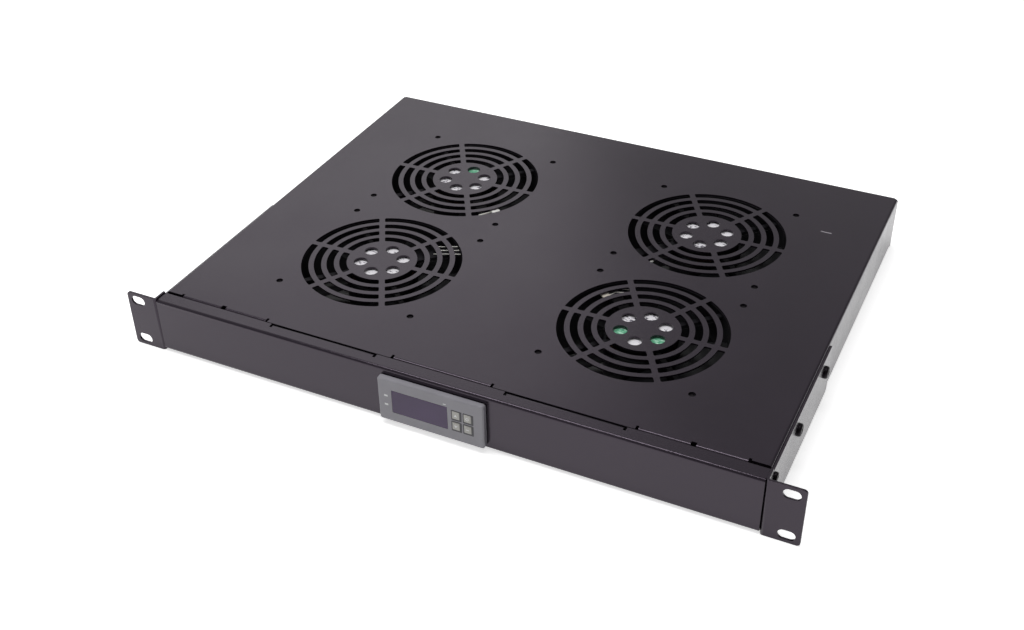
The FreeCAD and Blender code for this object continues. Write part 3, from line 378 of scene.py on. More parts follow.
def cut_sheet(outlines, z0, z1, rim=0.0, outer_rim=False):
    """Flat sheet between two heights from closed outlines, the first outside and the rest holes.

    rim rounds the holes' upper edges, and with outer_rim the sheet's own as well."""
    curve = bpy.data.curves.new("outline", "CURVE")
    curve.dimensions = "2D"
    curve.fill_mode = "BOTH"
    for points in outlines:
        spline = curve.splines.new("POLY")
        spline.points.add(len(points) - 1)
        for p, (x, y) in zip(spline.points, points):
            p.co = (x, y, 0, 1)
        spline.use_cyclic_u = True
    curve.extrude = (z1 - z0) / 2
    obj = bpy.data.objects.new("outline", curve)
    scene.collection.objects.link(obj)
    bpy.context.view_layer.update()
    depsgraph = bpy.context.evaluated_depsgraph_get()
    mesh = bpy.data.meshes.new_from_object(obj.evaluated_get(depsgraph))
    bpy.data.objects.remove(obj)
    bpy.data.curves.remove(curve)
    bm = bmesh.new()
    bm.from_mesh(mesh)
    bpy.data.meshes.remove(mesh)
    bmesh.ops.remove_doubles(bm, verts=bm.verts, dist=WELD)
    shifted(bm, z=(z0 + z1) / 2)
    if rim:
        top = {f for f in bm.faces if all(v.co.z > z1 - WELD for v in f.verts)}
        edges = [e for e in bm.edges
                 if len(e.link_faces) == 2 and sum(f in top for f in e.link_faces) == 1]
        if not outer_rim:
            xs = [v.co.x for v in bm.verts]
            ys = [v.co.y for v in bm.verts]
            sides = ((0, min(xs)), (0, max(xs)), (1, min(ys)), (1, max(ys)))
            edges = [e for e in edges
                     if all(abs(v.co[axis] - side) > TOUCH
                            for v in e.verts for axis, side in sides)]
        bevelled(bm, edges, rim)
    return bm


def polar(r, degrees):
    """Point at a radius and an angle."""
    a = math.radians(degrees)
    return r * math.cos(a), r * math.sin(a)


def circle(r, steps, x=0.0, y=0.0):
    """Outline of a circle."""
    return [(x + r * math.cos(2 * math.pi * k / steps), y + r * math.sin(2 * math.pi * k / steps))
            for k in range(steps)]


def rounded_outline(points, r, steps=4):
    """Closed outline with its corners rounded to at most r; nearly straight ones stay."""
    out = []
    count = len(points)
    for i in range(count):
        here = Vector(points[i])
        back = Vector(points[i - 1]) - here
        on = Vector(points[(i + 1) % count]) - here
        if back.length < 1e-9 or on.length < 1e-9 or back.angle(on) > math.radians(150):
            out.append(tuple(here))
            continue
        half = back.angle(on) / 2
        cut = min(r / math.tan(half), 0.4 * back.length, 0.4 * on.length)
        a, b = here + back.normalized() * cut, here + on.normalized() * cut
        for k in range(steps + 1):
            t = k / steps
            out.append(tuple(a * (1 - t) ** 2 + here * 2 * t * (1 - t) + b * t * t))
    return out


def packed_form(node):
    """A CAD node's mesh with its triangles merged into flat faces."""
    bm = bmesh.new()
    bm.from_mesh(nodes[node].data)
    bmesh.ops.remove_doubles(bm, verts=bm.verts, dist=WELD)
    bmesh.ops.dissolve_limit(bm, angle_limit=math.radians(0.5), verts=bm.verts, edges=bm.edges)
    return bm


def hard_edges(bm):
    """Edges between two faces that meet at more than 35 degrees."""
    return [e for e in bm.edges
            if len(e.link_faces) == 2 and e.calc_face_angle(0) > math.radians(35)]


def refined(node, body, mat, edge, segments=2, sharp=30.0, bend=None):
    """Stands for a CAD node: its own form with the hard edges rounded a little.

    bend is a test that picks vertices and the larger radius of the edges between them."""
    bm = packed_form(node)
    if bend:
        pick, r = bend
        picked = [e for e in hard_edges(bm) if all(pick(v.co) for v in e.verts)]
        bevelled(bm, picked, r, 6)
    bevelled(bm, hard_edges(bm), edge, segments)
    finish_piece(bm, "shown_" + node, body, mat, node, sharp, True)


def keep(node, mat):
    """Leaves a CAD node as it is, with a better material."""
    mesh = nodes[node].data
    mesh.materials.clear()
    mesh.materials.append(mat)


# ----------------------------------------------------------------- camera at the photograph's angle
EYE = (0.33265, -0.56211, 0.53419)
HEADING, LOOK_DOWN, ROLL = 26.185, 35.440, -0.946      # degrees

camera = bpy.data.cameras.new("camera")
camera.lens = 46.17
camera.sensor_width = 36
camera.clip_start = 0.01
camera.clip_end = 20
eye = bpy.data.objects.new("camera", camera)
scene.collection.objects.link(eye)
eye.matrix_world = (Matrix.Translation(EYE)
                    @ Matrix.Rotation(math.radians(HEADING), 4, "Z")
                    @ Matrix.Rotation(math.radians(90 - LOOK_DOWN), 4, "X")
                    @ Matrix.Rotation(math.radians(ROLL), 4, "Z"))
scene.camera = eye


# ------------------------------------------------------------------ tray and panel
FAN_HOLE_PITCH = 105.0 * MM
FAN_HOLE_PLACES = [(sx * FAN_HOLE_PITCH / 2, sy * FAN_HOLE_PITCH / 2)
                   for sx in (-1, 1) for sy in (-1, 1)]
SEXTANT = math.pi / 3
GRILLE_R = 57.8 * MM
RING_COUNT = 4
RING_PITCH = 9.05 * MM
SLOT_WIDTH = 5.3 * MM
SLOT_CORNER_R = 1.5 * MM
SLOT_STEP = 3.2 * MM           # along an outer arc, between its points
SPOKE = 4.1 * MM
HUB_HOLE_R = 5.0 * MM
HUB_HOLE_CIRCLE_R = 15.2 * MM
SCREW_HOLE_R = 2.4 * MM
SLOT_RIM = 0.08 * MM           # rounding of the punched edges
PLATE_INSET = 8.0 * MM         # the stretch cut afresh ends this far inside the side walls
PLATE_REACH = 68.0 * MM        # and this far past the fans' centres
FOLD_R = 1.1 * MM              # outside of the tray's and the panel's folds


def arc_slot(outer, inner, first):
    """One arc slot of a grille ring between two straight spokes."""
    points = []
    steps = max(6, int(outer / SLOT_STEP))
    for r, order in ((outer, range(steps + 1)), (inner, range(steps, -1, -1))):
        end = math.asin(SPOKE / 2 / r)
        for k in order:
            a = first + end + (SEXTANT - 2 * end) * k / steps
            points.append((r * math.cos(a), r * math.sin(a)))
    return rounded_outline(points, SLOT_CORNER_R, 5)


def grille_outlines():
    """Openings round a fan's centre: rings of slots, holes over the motor, screw holes."""
    holes = []
    for i in range(RING_COUNT):
        outer = GRILLE_R - i * RING_PITCH
        holes += [arc_slot(outer, outer - SLOT_WIDTH, k * SEXTANT) for k in range(6)]
    for k in range(6):
        holes.append(circle(HUB_HOLE_R, 40, *polar(HUB_HOLE_CIRCLE_R, 60 * k + 30)))
    return holes + [circle(SCREW_HOLE_R, 28, x, y) for x, y in FAN_HOLE_PLACES]


def tray_sheet():
    """The chassis as packed, with the middle of its top plate cut afresh, its slots truly round."""
    bm = packed_form("chassis")
    folds = [e for e in hard_edges(bm)
             if all(abs(v.co.x) > tray_high.x - NEAR and v.co.z > plate_top - NEAR
                    for v in e.verts)]
    bevelled(bm, folds, FOLD_R, 5)
    x1 = tray_high.x - PLATE_INSET
    y0 = min(y for x, y in centres.values()) - PLATE_REACH
    y1 = max(y for x, y in centres.values()) + PLATE_REACH
    for co, no in (((x1, 0, 0), (1, 0, 0)), ((-x1, 0, 0), (1, 0, 0)),
                   ((0, y0, 0), (0, 1, 0)), ((0, y1, 0), (0, 1, 0))):
        bmesh.ops.bisect_plane(bm, geom=bm.verts[:] + bm.edges[:] + bm.faces[:],
                               dist=WELD / 10, plane_co=co, plane_no=no)
    doomed = []
    for f in bm.faces:
        c = f.calc_center_bounds()
        if (abs(c.x) < x1 - TOUCH and y0 + TOUCH < c.y < y1 - TOUCH
                and min(v.co.z for v in f.verts) > plate_under - TOUCH):
            doomed.append(f)
    bmesh.ops.delete(bm, geom=doomed, context="FACES")
    outlines = [[(-x1, y0), (x1, y0), (x1, y1), (-x1, y1)]]
    for cx, cy in centres.values():
        outlines += [[(x + cx, y + cy) for x, y in hole] for hole in grille_outlines()]
    plate = cut_sheet(outlines, plate_under, plate_top, SLOT_RIM)
    # the cut's own walls would lie inside the sheet
    walls = [f for f in plate.faces
             if all(abs(abs(v.co.x) - x1) < TOUCH for v in f.verts)
             or any(all(abs(v.co.y - y) < TOUCH for v in f.verts) for y in (y0, y1))]
    bmesh.ops.delete(plate, geom=walls, context="FACES")
    finish_piece(joined([bm, plate]), "tray_sheet", "tray", plate_coat, "chassis",
                 40, True)


def on_top_fold(co):
    """Whether a vertex lies on the edge of the panel's top fold."""
    return co.y < panel_low.y + NEAR and co.z > panel_high.z - NEAR


tray_sheet()
panel_low, panel_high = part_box("front_panel")
refined("front_panel", "tray", coat, 0.12 * MM, sharp=40,
        bend=(on_top_fold, FOLD_R))
for side in ("right", "left"):
    refined("rack_ear_" + side, "tray", coat, 0.15 * MM, sharp=40)


# ------------------------------------------------------------------ fans
HUB_R = 26.0 * MM
HUB_WALL = 2.0 * MM
SHAFT_SEAT_R = 2.04 * MM
BOSS_R = 5.0 * MM
BOSS_HEIGHT = 3.8 * MM
# rounded edge of the hub's face: in from its side, up from the face; mm
HUB_ROUND = ((2.4, 0.0), (1.0, 0.3), (0.2, 1.1), (0.0, 2.4))
HUB_RIM = 0.3 * MM
BLADE_COUNT = 5
BLADE_ROOT_R = 25.0 * MM       # inside the hub's wall
BLADE_TIP_R = 56.4 * MM
ROOT_REACH = 13.0 * MM         # half of a blade's length round the hub, at its root
TIP_REACH = 24.0 * MM          # and at its tip
BLADE_HALF_HIGH = (rotor_top - rotor_low) / 2 - 3.3 * MM
BLADE_HALF_T = 0.9 * MM
BLADE_EDGE = 0.35              # share of the thickness left at a blade's edges
CAMBER = 3.0 * MM

FAN_HALF = 60.0 * MM
FAN_CORNER_R = 6.0 * MM
FAN_HOLE_R = 2.25 * MM
FLANGE_T = 4.5 * MM
FLANGE_EDGE = 0.3 * MM
BORE_R = 57.6 * MM
RING_WALL = 1.8 * MM
WITHIN_RING_R = 58.4 * MM      # the flanges and struts end inside the ring's wall
RING_SHORT = 0.05 * MM         # ring's ends inside the flanges' faces
CHAMFER_IN, CHAMFER_DOWN = 0.5 * MM, 0.6 * MM
MOTOR_RECESS = 1.8 * MM        # motor base below the frame's upper face
BASE_R = 23.5 * MM
BASE_T = 3.0 * MM
TUBE_BORE_R = 5.06 * MM
TUBE_R = 7.0 * MM
TUBE_LENGTH = 25.0 * MM
STRUT_COUNT = 4
STRUT_START = 22.8 * MM
STRUT_DROP = 0.5 * MM          # strut's upper face below the motor base's
STRUT_HEIGHT = 3.6 * MM
STRUT_EDGE = 0.7 * MM
STRUT_WIDTH, LEAD_STRUT_WIDTH = 4.5 * MM, 9.0 * MM

LABEL_R = 21.2 * MM
LABEL_T = 0.12 * MM
LABEL_MARK_R = 6.4 * MM
LABEL_MARK_T = 0.04 * MM
LABEL_MARK_SHIFT = (-1.9 * MM, 3.2 * MM)   # fills the hole above it from the photograph's side
LABEL_WHITE, LABEL_PRINT = (0.86, 0.84, 0.88), (0.09, 0.08, 0.11)
LABEL_GREENS = ((0.35, (0.06, 0.3, 0.16)), (0.5, (0.16, 0.5, 0.31)), (0.62, (0.5, 0.78, 0.62)))


def blade_point(r, t, lift, reach):
    """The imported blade's own surface: camber and twist on the cylinder of radius r."""
    length = math.hypot(reach, BLADE_HALF_HIGH)
    off = CAMBER * (1 - t * t) + lift
    along = t * reach - off * BLADE_HALF_HIGH / length
    z = t * BLADE_HALF_HIGH + off * reach / length
    return Vector((r * math.cos(along / r), r * math.sin(along / r), z))


def blade():
    """One blade, thinner towards its edges, its two skins joined all round."""
    bm = bmesh.new()
    rows, steps = 10, 18
    skins = []
    for side in (-1, 1):
        skin = []
        for j in range(rows + 1):
            share = j / rows
            r = BLADE_ROOT_R + (BLADE_TIP_R - BLADE_ROOT_R) * share
            reach = ROOT_REACH + (TIP_REACH - ROOT_REACH) * share
            row = []
            for k in range(steps + 1):
                t = -1 + 2 * k / steps
                full = BLADE_EDGE + (1 - BLADE_EDGE) * math.sqrt(max(0.0, 1 - t ** 4))
                lift = BLADE_HALF_T * (1 + side * full)
                row.append(bm.verts.new(blade_point(r, t, lift, reach)))
            skin.append(row)
        skins.append(skin)
    low, high = skins
    for j in range(rows):
        for k in range(steps):
            bm.faces.new((low[j][k], low[j + 1][k], low[j + 1][k + 1], low[j][k + 1]))
            bm.faces.new((high[j][k], high[j][k + 1], high[j + 1][k + 1], high[j + 1][k]))
        for k in (0, steps):
            bm.faces.new((low[j][k], high[j][k], high[j + 1][k], low[j + 1][k]))
    for j in (0, rows):
        for k in range(steps):
            bm.faces.new((low[j][k], low[j][k + 1], high[j][k + 1], high[j][k]))
    bmesh.ops.recalc_face_normals(bm, faces=bm.faces)
    return shifted(bm, z=(rotor_low + rotor_top) / 2)


def rotor():
    """Hub, open at the top, with its boss and blades."""
    inside_r = HUB_R - HUB_WALL
    hub_floor = rotor_low + HUB_WALL
    boss_top = hub_floor + BOSS_HEIGHT
    profile = [(SHAFT_SEAT_R, rotor_low)]
    profile += [(HUB_R - inset * MM, rotor_low + up * MM) for inset, up in HUB_ROUND]
    profile += [(HUB_R, rotor_top - HUB_RIM), (HUB_R - HUB_RIM, rotor_top), (inside_r, rotor_top),
                (inside_r, hub_floor), (BOSS_R, hub_floor), (BOSS_R, boss_top),
                (SHAFT_SEAT_R, boss_top)]
    blades = [spun(blade(), 360 / BLADE_COUNT * k) for k in range(BLADE_COUNT)]
    return joined([revolved(profile, 72, True)] + blades)


def flange(z0, z1):
    """Square end of a fan's frame with its corner holes."""
    half = FAN_HALF
    square = rounded_outline([(-half, -half), (half, -half), (half, half), (-half, half)],
                             FAN_CORNER_R, 8)
    holes = [circle(WITHIN_RING_R, 72)]
    holes += [circle(FAN_HOLE_R, 24, x, y) for x, y in FAN_HOLE_PLACES]
    return cut_sheet([square] + holes, z0, z1, FLANGE_EDGE, True)


def frame_piece(lead_angle):
    """Cast frame: two flanges, ring, motor base, bearing tube and struts, one wide for the lead."""
    low, top = frame_low, plate_under
    ring_low, ring_top, ring_r = low + RING_SHORT, top - RING_SHORT, BORE_R + RING_WALL
    face = top - MOTOR_RECESS
    under = face - BASE_T
    tube_end = under - TUBE_LENGTH
    parts = [
        flange(top - FLANGE_T, top),
        flange(low, low + FLANGE_T),
        revolved([(BORE_R, low + CHAMFER_DOWN), (BORE_R + CHAMFER_IN, ring_low),
                  (ring_r, ring_low), (ring_r, ring_top), (BORE_R + CHAMFER_IN, ring_top),
                  (BORE_R, top - CHAMFER_DOWN)], 96, True),
        revolved([(0, face), (BASE_R - CHAMFER_DOWN, face), (BASE_R, face - CHAMFER_DOWN),
                  (BASE_R, under), (0, under)], 64),
        revolved([(TUBE_BORE_R, under), (TUBE_R, under), (TUBE_R, tube_end),
                  (TUBE_BORE_R, tube_end)], 40, True),
    ]
    strut_top = face - STRUT_DROP
    for k in range(STRUT_COUNT):
        half = (STRUT_WIDTH if k else LEAD_STRUT_WIDTH) / 2
        strut = block((STRUT_START, -half, strut_top - STRUT_HEIGHT),
                      (WITHIN_RING_R, half, strut_top), STRUT_EDGE, 3)
        parts.append(spun(strut, lead_angle + 360 / STRUT_COUNT * k))
    return joined(parts)


def label_tone(tree):
    """White paper with small worn flecks of dark print."""
    flecks = noise(tree, 420, 2, 0.5, (1.0, 2.2, 1.0))
    faded = maths(tree, "MULTIPLY", noise(tree, 60, 2, 0.5), 0.35)
    share = eased(tree, maths(tree, "ADD", flecks, faded), 0.76, 0.80)
    return mixed(tree, share, LABEL_WHITE, LABEL_PRINT)


def green_tone(tree):
    """Green print, uneven, with pale breaks."""
    return ramp(tree, noise(tree, 330, 2, 0.5, (1.0, 1.8, 1.0)), LABEL_GREENS)


label_paper = printed("label_paper", LABEL_WHITE, 0.5, label_tone)
label_green = printed("label_green", (0.1, 0.42, 0.24), 0.45, green_tone)
LEAD_ANGLE = {"front_left": 45, "front_right": 135, "rear_left": -45, "rear_right": -135}
# angles of the holes over the motor that show green
GREEN = {"front_right": (210, 330), "rear_left": (90,)}
# plug: angle from the lead's strut, inner and outer radius, half width, height; mm
PLUGS = {"front_right": (8, 46.5, 52.0, 3.0, 1.2, cream_plastic),
         "rear_left": (8, 47.6, 57.7, 3.2, 1.9, white_plastic),
         "rear_right": (17, 52.0, 57.7, 1.0, 1.0, white_plastic)}
PLUG_EDGE = 0.3 * MM
# fine leads lying on the struts: radius, then points beside the fan's centre; mm
FINE_LEADS = {
    "front_left": (0.32, [(25.0, 36.2), (31.5, 39.3), (39.0, 42.7)],
                   [(26.0, 31.2), (34.0, 34.8), (42.3, 38.6)],
                   [(27.5, 26.5), (36.0, 30.5), (45.5, 34.5)]),
    "front_right": (0.32, [(-38.5, 32.9), (-37.9, 38.1), (-31.4, 41.4), (-26.0, 43.0)],
                    [(-36.5, 31.0), (-34.0, 36.0), (-27.0, 38.5)]),
    "rear_left": (0.75, [(40.5, -31.5), (38.5, -35.1), (33.4, -42.4)]),
}

label_z = plate_under - MOTOR_RECESS
strut_z = label_z - STRUT_DROP
for corner in CORNERS:
    cx, cy = centres[corner]
    finish_piece(shifted(frame_piece(LEAD_ANGLE[corner]), cx, cy), "frame_" + corner, "tray",
                 cast, "fan_frame_" + corner, 40, True)
    finish_piece(shifted(rotor(), cx, cy), "rotor_" + corner, "rotor_" + corner,
                 rotor_plastic, "fan_rotor_" + corner, 35)
    finish_piece(shifted(disc(LABEL_R, 0, LABEL_T, 64), cx, cy, label_z), "label_" + corner,
                 "tray", label_paper)
    for angle in GREEN.get(corner, ()):
        x, y = polar(HUB_HOLE_CIRCLE_R, angle)
        patch = disc(LABEL_MARK_R, LABEL_T, LABEL_T + LABEL_MARK_T, 40)
        shifted(patch, cx + x + LABEL_MARK_SHIFT[0], cy + y + LABEL_MARK_SHIFT[1], label_z)
        finish_piece(patch, "label_mark_%s_%d" % (corner, angle), "tray",
                     label_green)
    if corner in PLUGS:
        turn, inner, outer, half, high, mat = PLUGS[corner]
        plug = block((inner * MM, -half * MM, 0), (outer * MM, half * MM, high * MM), PLUG_EDGE)
        finish_piece(shifted(spun(plug, LEAD_ANGLE[corner] + turn), cx, cy, strut_z),
                     "lead_terminal_" + corner, "tray", mat)
    if corner in FINE_LEADS:
        r, *leads = FINE_LEADS[corner]
        for k, points in enumerate(leads):
            runs = [bar((x0 * MM, y0 * MM, r * MM), (x1 * MM, y1 * MM, r * MM), r * MM, 12)
                    for (x0, y0), (x1, y1) in zip(points, points[1:])]
            finish_piece(shifted(joined(runs), cx, cy, strut_z),
                         "fine_lead_%s_%d" % (corner, k), "tray", sheath_white)


# ------------------------------------------------------------------ fasteners
LARGE_HEAD_R = 3.5 * MM
CROWN_INSET_LARGE, CROWN_INSET_SMALL = 1.25 * MM, 0.9 * MM
HEAD_SIDE = 0.35               # share of a pan head's height below its crown
CROSS_DEPTH = 1.2 * MM
CROSS_HALF_WIDTH = 0.3         # of the cross's reach
EAR_SHEET = 1.6 * MM
# y, z, shank radius and length, head radius and height, cross; mm
EAR_SCREWS = ((66.4, 7.0, 2.0, 8.6, 4.3, 2.5, 1.9), (129.4, 7.0, 2.0, 8.6, 4.3, 2.5, 1.9),
              (14.4, 11.5, 1.5, 7.2, 3.0, 2.0, 1.4))
FAN_SHANK_R = 2.0 * MM
FAN_SHANK_EDGE = 0.35 * MM
FAN_SHANK_LAP = 0.1 * MM       # the tip reaches this far into the plate's hole
# hexagon head, downwards from the frame's lower face: radius, height; mm
HEX_HEAD = ((0, -2.6), (3.3, -2.6), (4.04, -2.1), (4.04, 0), (0, 0))
INLET_HEAD_R, INLET_HEAD_H = 3.0 * MM, 2.0 * MM
INLET_SHANK_R, INLET_SHANK = 1.5 * MM, 7.8 * MM
INLET_CROSS = 1.4 * MM


def pan_head(r, h, reach):
    """Domed head above the XY plane with a cross recess."""
    steps = 40
    flat = r - (CROWN_INSET_LARGE if r > LARGE_HEAD_R else CROWN_INSET_SMALL)
    side = h * HEAD_SIDE
    crown = [(r, 0), (r, side)]
    for k in range(1, 6):
        a = math.radians(90 * k / 5)
        crown.append((flat + (r - flat) * math.cos(a), side + (h - side) * math.sin(a)))
    half = reach * CROSS_HALF_WIDTH
    cross = [(reach, -half), (reach, half), (half, half), (half, reach), (-half, reach),
             (-half, half), (-reach, half), (-reach, -half), (-half, -half), (-half, -reach),
             (half, -reach), (half, -half)]
    bottom = h - CROSS_DEPTH
    cap = cut_sheet([circle(flat, steps), rounded_outline(cross, half * 0.4, 2)], bottom, h)
    inner_floor = disc(flat * 0.95, bottom, bottom - 0.1 * MM, 24)
    under = revolved([(0, 0), (r, 0)], steps)
    return joined([revolved(crown, steps), cap, inner_floor, under])


def screw(shank_r, length, head_r, head_h, reach):
    """Pan-head screw, its head above the XY plane and its shank below."""
    return joined([pan_head(head_r, head_h, reach), rod(shank_r, -length, 0.2 * MM, 0.3 * MM, 24)])


flange_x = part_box("rack_ear_right")[0].x + EAR_SHEET
parts = []
for side in (-1, 1):
    for y, z, *sizes in EAR_SCREWS:
        one = screw(*(size * MM for size in sizes))
        spun(one, 23 + 31 * side + y)      # each cross at an angle of its own
        spun(one, 90 * side, "Y")
        parts.append(shifted(one, side * flange_x, y * MM, z * MM))
finish_piece(joined(parts), "ear_screws_shown", "tray", oxide, "ear_screws", 38)

parts = []
for cx, cy in centres.values():
    for x, y in FAN_HOLE_PLACES:
        shank = rod(FAN_SHANK_R, frame_low, plate_under + FAN_SHANK_LAP, FAN_SHANK_EDGE, 28)
        head = revolved([(r * MM, frame_low + z * MM) for r, z in HEX_HEAD], 6)
        parts += [shifted(b, cx + x, cy + y) for b in (shank, head)]
finish_piece(joined(parts), "fan_screws_shown", "tray", oxide, "fan_screws", 38)

low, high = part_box("inlet_screws")
parts = []
for x in (low.x + INLET_HEAD_R, high.x - INLET_HEAD_R):
    one = screw(INLET_SHANK_R, INLET_SHANK, INLET_HEAD_R, INLET_HEAD_H, INLET_CROSS)
    spun(spun(one, 20 + x * 900), -90, "X")
    parts.append(shifted(one, x, high.y - INLET_HEAD_H, (low.z + high.z) / 2))
finish_piece(joined(parts), "inlet_screws_shown", "tray", zinc, "inlet_screws", 38)
for node in ("panel_nuts", "ear_nuts", "inlet_nuts", "terminal_block_nuts"):
    refined(node, "tray", zinc, 0.2 * MM)


# ------------------------------------------------------------------ thermostat
BEZEL_ROUND = 2.0 * MM         # outer edge of the bezel's front
SHADE_GAP = 0.1 * MM            # painted shade beside each button: a dark sheet reaching this far beyond it to the left and above
# the painted shade reaches this much farther to the right of and below each button
SHADE_RIGHT, SHADE_BELOW = 0.8 * MM, 0.7 * MM
SHADE_CORNER_R = 0.6 * MM
SHADE_HALF_T = 0.02 * MM
MARK_T = 0.05 * MM
# what each button carries, as outlines beside its middle; mm
BUTTON_MARKS = {
    "up": [[(-1.2, -0.8), (1.2, -0.8), (0, 1.1)]],
    "down": [[(-1.2, 0.8), (0, -1.1), (1.2, 0.8)]],
    "set": [circle(1.15, 24), circle(0.7, 24)],
    "mode": [[(-1.1, -0.35), (1.1, -0.35), (1.1, 0.35), (-1.1, 0.35)]],
}


def window_material():
    """Dark purple glass of the display, slightly hazy."""
    mat, tree, shader = new_material("display_window", (0.05, 0.03, 0.075), 0.14,
                                     Specular_IOR_Level=0.4)
    haze = noise(tree, 30, 2, 0.5)
    tone = ramp(tree, haze, ((0.3, (0.042, 0.018, 0.070)), (0.7, (0.058, 0.028, 0.095))))
    tree.links.new(tone, shader.inputs["Base Color"])
    bump(tree, shader, noise(tree, 300, 2, 0.5), 0.03, 0.1 * MM)
    return mat


def on_bezel_edge(co):
    """Whether a vertex lies on the outer edge of the bezel's front."""
    inset = min(co.x - bezel_low.x, bezel_high.x - co.x, co.z - bezel_low.z, bezel_high.z - co.z)
    return co.y < bezel_low.y + NEAR and inset < BEZEL_ROUND


dark_window = window_material()
bezel_low, bezel_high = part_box("thermostat_bezel")
refined("thermostat_bezel", "tray", grey_plastic, 0.2 * MM, 3,
        bend=(on_bezel_edge, BEZEL_ROUND))
refined("thermostat_window", "tray", dark_window, 0.15 * MM)
refined("thermostat_housing", "tray", black_plastic, 0.4 * MM)
refined("thermostat_clips", "tray", black_plastic, 0.3 * MM)
refined("thermostat_terminals", "tray", green_plastic, 0.2 * MM)
keep("thermostat_gasket", rubber)
keep("thermostat_board", board_green)
keep("thermostat_terminal_screws", zinc)
for name, marks in BUTTON_MARKS.items():
    node = "button_" + name
    refined(node, node, button_plastic, 0.15 * MM, 3)
    low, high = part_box(node)
    # a dark sheet behind the button, painted as the shade that falls to its right and below it
    x0, x1 = low.x - SHADE_GAP, high.x + SHADE_RIGHT
    z0, z1 = low.z - SHADE_BELOW, high.z + SHADE_GAP
    shade_sheet = cut_sheet([rounded_outline([(x0, z0), (x1, z0), (x1, z1), (x0, z1)], SHADE_CORNER_R)],
                     -SHADE_HALF_T, SHADE_HALF_T)
    spun(shade_sheet, 90, "X")
    finish_piece(shifted(shade_sheet, y=bezel_low.y - 0.01 * MM), "well_" + name, "tray",
                 well_plastic)
    mark = cut_sheet([[(x * MM, y * MM) for x, y in outline] for outline in marks], 0, MARK_T)
    spun(mark, 90, "X")
    shifted(mark, (low.x + high.x) / 2, low.y + 0.01 * MM, (low.z + high.z) / 2)
    finish_piece(mark, "mark_" + name, node, print_white)

# plain marks: two beside the window and one above its corner; middle, width, height
low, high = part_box("thermostat_window")
BEZEL_MARKS = ((low.x - 4.2 * MM, low.z + 12.6 * MM, 2.6 * MM, 1.5 * MM),
               (low.x - 4.2 * MM, low.z + 5.4 * MM, 2.6 * MM, 1.5 * MM),
               (high.x - 1.6 * MM, high.z + 1.9 * MM, 2.2 * MM, 0.6 * MM))
for k, (x, z, width, height) in enumerate(BEZEL_MARKS):
    mark = block((x - width / 2, bezel_low.y - 0.03 * MM, z - height / 2),
                 (x + width / 2, bezel_low.y + 0.1 * MM, z + height / 2))
    finish_piece(mark, "bezel_mark_%d" % k, "tray", print_white)


# ------------------------------------------------------------------ inlet, wiring
refined("inlet_body", "tray", black_plastic, 0.3 * MM)
refined("inlet_boot", "tray", rubber, 0.6 * MM, 3)
refined("inlet_pins", "tray", brass, 0.25 * MM)
refined("terminal_block", "tray", white_plastic, 0.3 * MM)
refined("lead_clips", "tray", white_plastic, 0.3 * MM)
keep("terminal_block_screws", zinc)
for corner in CORNERS:
    keep("fan_shaft_" + corner, steel)
keep("fan_bearings", steel)
keep("fan_stators", copper)


def smooth_bar(node, axis, mat):
    """A straight lead or probe as a true round bar."""
    low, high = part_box(node)
    start = (low + high) / 2
    end = start.copy()
    start[axis], end[axis] = low[axis], high[axis]
    finish_piece(bar(start, end, (high.z - low.z) / 2, 28), node + "_shown", "tray", mat,
                 node, 40)


for corner in CORNERS:
    smooth_bar("fan_lead_" + corner, 0, sheath_white)
smooth_bar("thermostat_lead", 1, sheath_black)
smooth_bar("supply_lead", 1, sheath_black)
smooth_bar("sensor_lead", 1, sheath_grey)
smooth_bar("sensor_probe", 1, steel)


# ------------------------------------------------------------------ floor: a pale sheet of paper
PAPER = (0.9, 0.9, 0.9)
# paper colour painted dark as shade where the tray stands
SHADE_UNDER_TRAY = (0.12, 0.12, 0.12)
GLOW = 0.62                    # what the paper adds of its own, so that it shows white
FOOTPRINT_INSET = 2.0 * MM     # the painted shade under the tray ends this far inside the tray's sides

grid = bmesh.new()
bmesh.ops.create_grid(grid, x_segments=1, y_segments=1, size=6)
mesh = bpy.data.meshes.new("floor")
grid.to_mesh(mesh)
grid.free()
floor = bpy.data.objects.new("floor", mesh)
scene.collection.objects.link(floor)
floor.location.z = tray_low.z
paper, tree, shader = new_material("paper", PAPER, 0.9)

# under the tray the paper is painted dark as shade and doesn't glow
place = split_xyz(tree, object_coords(tree))
half_deep = (tray_high.y - tray_low.y) / 2
beside = maths(tree, "GREATER_THAN", off_middle(tree, place["X"], 0.0),
               tray_high.x - FOOTPRINT_INSET)
behind = maths(tree, "GREATER_THAN", off_middle(tree, place["Y"], tray_low.y + half_deep),
               half_deep - FOOTPRINT_INSET)
outside = maths(tree, "MAXIMUM", beside, behind)
tree.links.new(mixed(tree, outside, SHADE_UNDER_TRAY, PAPER), shader.inputs["Base Color"])

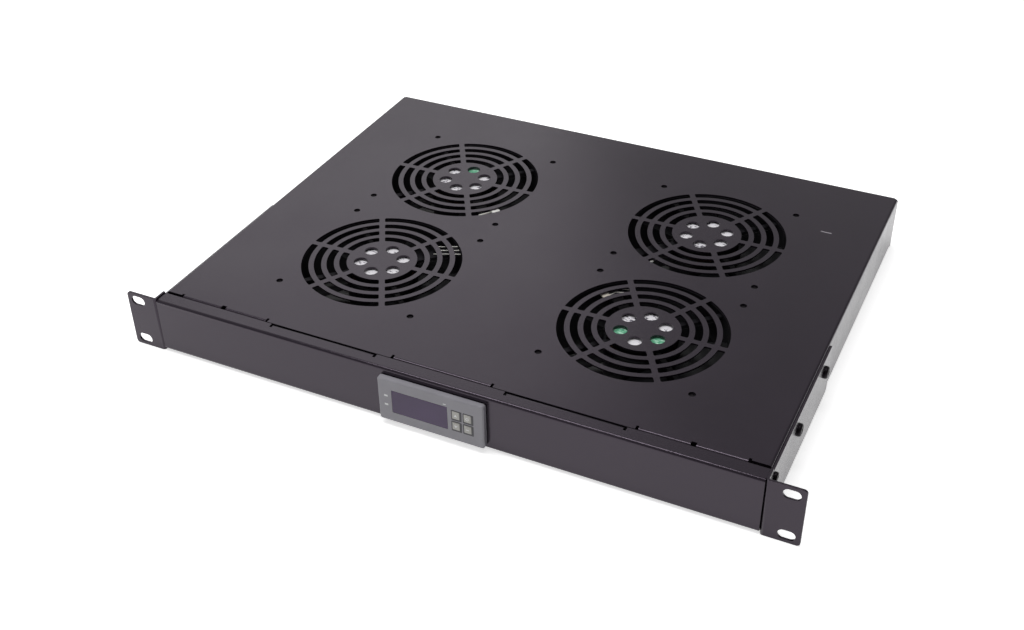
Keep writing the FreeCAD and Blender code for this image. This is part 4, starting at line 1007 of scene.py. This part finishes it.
# it glows for the camera and in the tray's reflections, and lights nothing
ray = tree.nodes.new("ShaderNodeLightPath").outputs
mirrored = maths(tree, "MAXIMUM", ray["Is Glossy Ray"], ray["Is Transmission Ray"])
strength = maths(tree, "MULTIPLY", maths(tree, "ADD", ray["Is Camera Ray"], mirrored), GLOW)
glow = tree.nodes.new("ShaderNodeEmission")
glow.inputs["Color"].default_value = (1, 1, 1, 1)
tree.links.new(maths(tree, "MULTIPLY", strength, outside), glow.inputs["Strength"])
glowing = tree.nodes.new("ShaderNodeAddShader")
tree.links.new(shader.outputs[0], glowing.inputs[0])
tree.links.new(glow.outputs[0], glowing.inputs[1])

# from below it is clear, and its painted-shade stretch lets the light through that shows the
# underside
under_light = maths(tree, "MULTIPLY", ray["Is Shadow Ray"],
                    maths(tree, "SUBTRACT", 1.0, outside))
facing = tree.nodes.new("ShaderNodeNewGeometry").outputs
clear = tree.nodes.new("ShaderNodeBsdfTransparent")
surface = tree.nodes.new("ShaderNodeMixShader")
tree.links.new(maths(tree, "MAXIMUM", facing["Backfacing"], under_light), surface.inputs["Fac"])
tree.links.new(glowing.outputs[0], surface.inputs[1])
tree.links.new(clear.outputs[0], surface.inputs[2])
tree.links.new(surface.outputs[0], tree.nodes["Material Output"].inputs["Surface"])
mesh.materials.append(paper)


# ------------------------------------------------------------------ light
world = bpy.data.worlds.new("studio")
scene.world = world
world.use_nodes = True
tree = world.node_tree
sky = tree.nodes["Background"]
sky.inputs["Color"].default_value = (1, 1, 1, 1)
# a little brighter towards the back, and less than half as bright towards the right
toward = split_xyz(tree, tree.nodes.new("ShaderNodeTexCoord").outputs["Generated"])
to_back = eased(tree, toward["Y"], 0.0, 0.5, 0.4, 0.5)
to_right = eased(tree, toward["X"], -0.1, 0.5, 1.0, 0.45)
tree.links.new(maths(tree, "MULTIPLY", to_back, to_right), sky.inputs["Strength"])


def softbox(name, at, aim, size, power):
    """Rectangular area light at a place, aimed at a point; not seen by the camera itself."""
    light = bpy.data.lights.new(name, "AREA")
    light.shape = "RECTANGLE"
    light.size, light.size_y = size
    light.energy = power
    obj = bpy.data.objects.new(name, light)
    scene.collection.objects.link(obj)
    obj.location = at
    obj.rotation_euler = (Vector(aim) - Vector(at)).to_track_quat("-Z", "Y").to_euler()
    obj.visible_camera = False


softbox("key", (-0.25, 0.0, 1.75), (-0.2, 0.01, 0), (0.6, 1.6), 20)
softbox("back", (-1.35, 1.95, 1.5), (0, 0.2, 0), (1.3, 1.2), 3.8)
softbox("under", (0.0, 0.17, -1.3), (0, 0.17, 0), (1.2, 1.0), 14)

bpy.context.scene.view_settings.view_transform = "Standard"
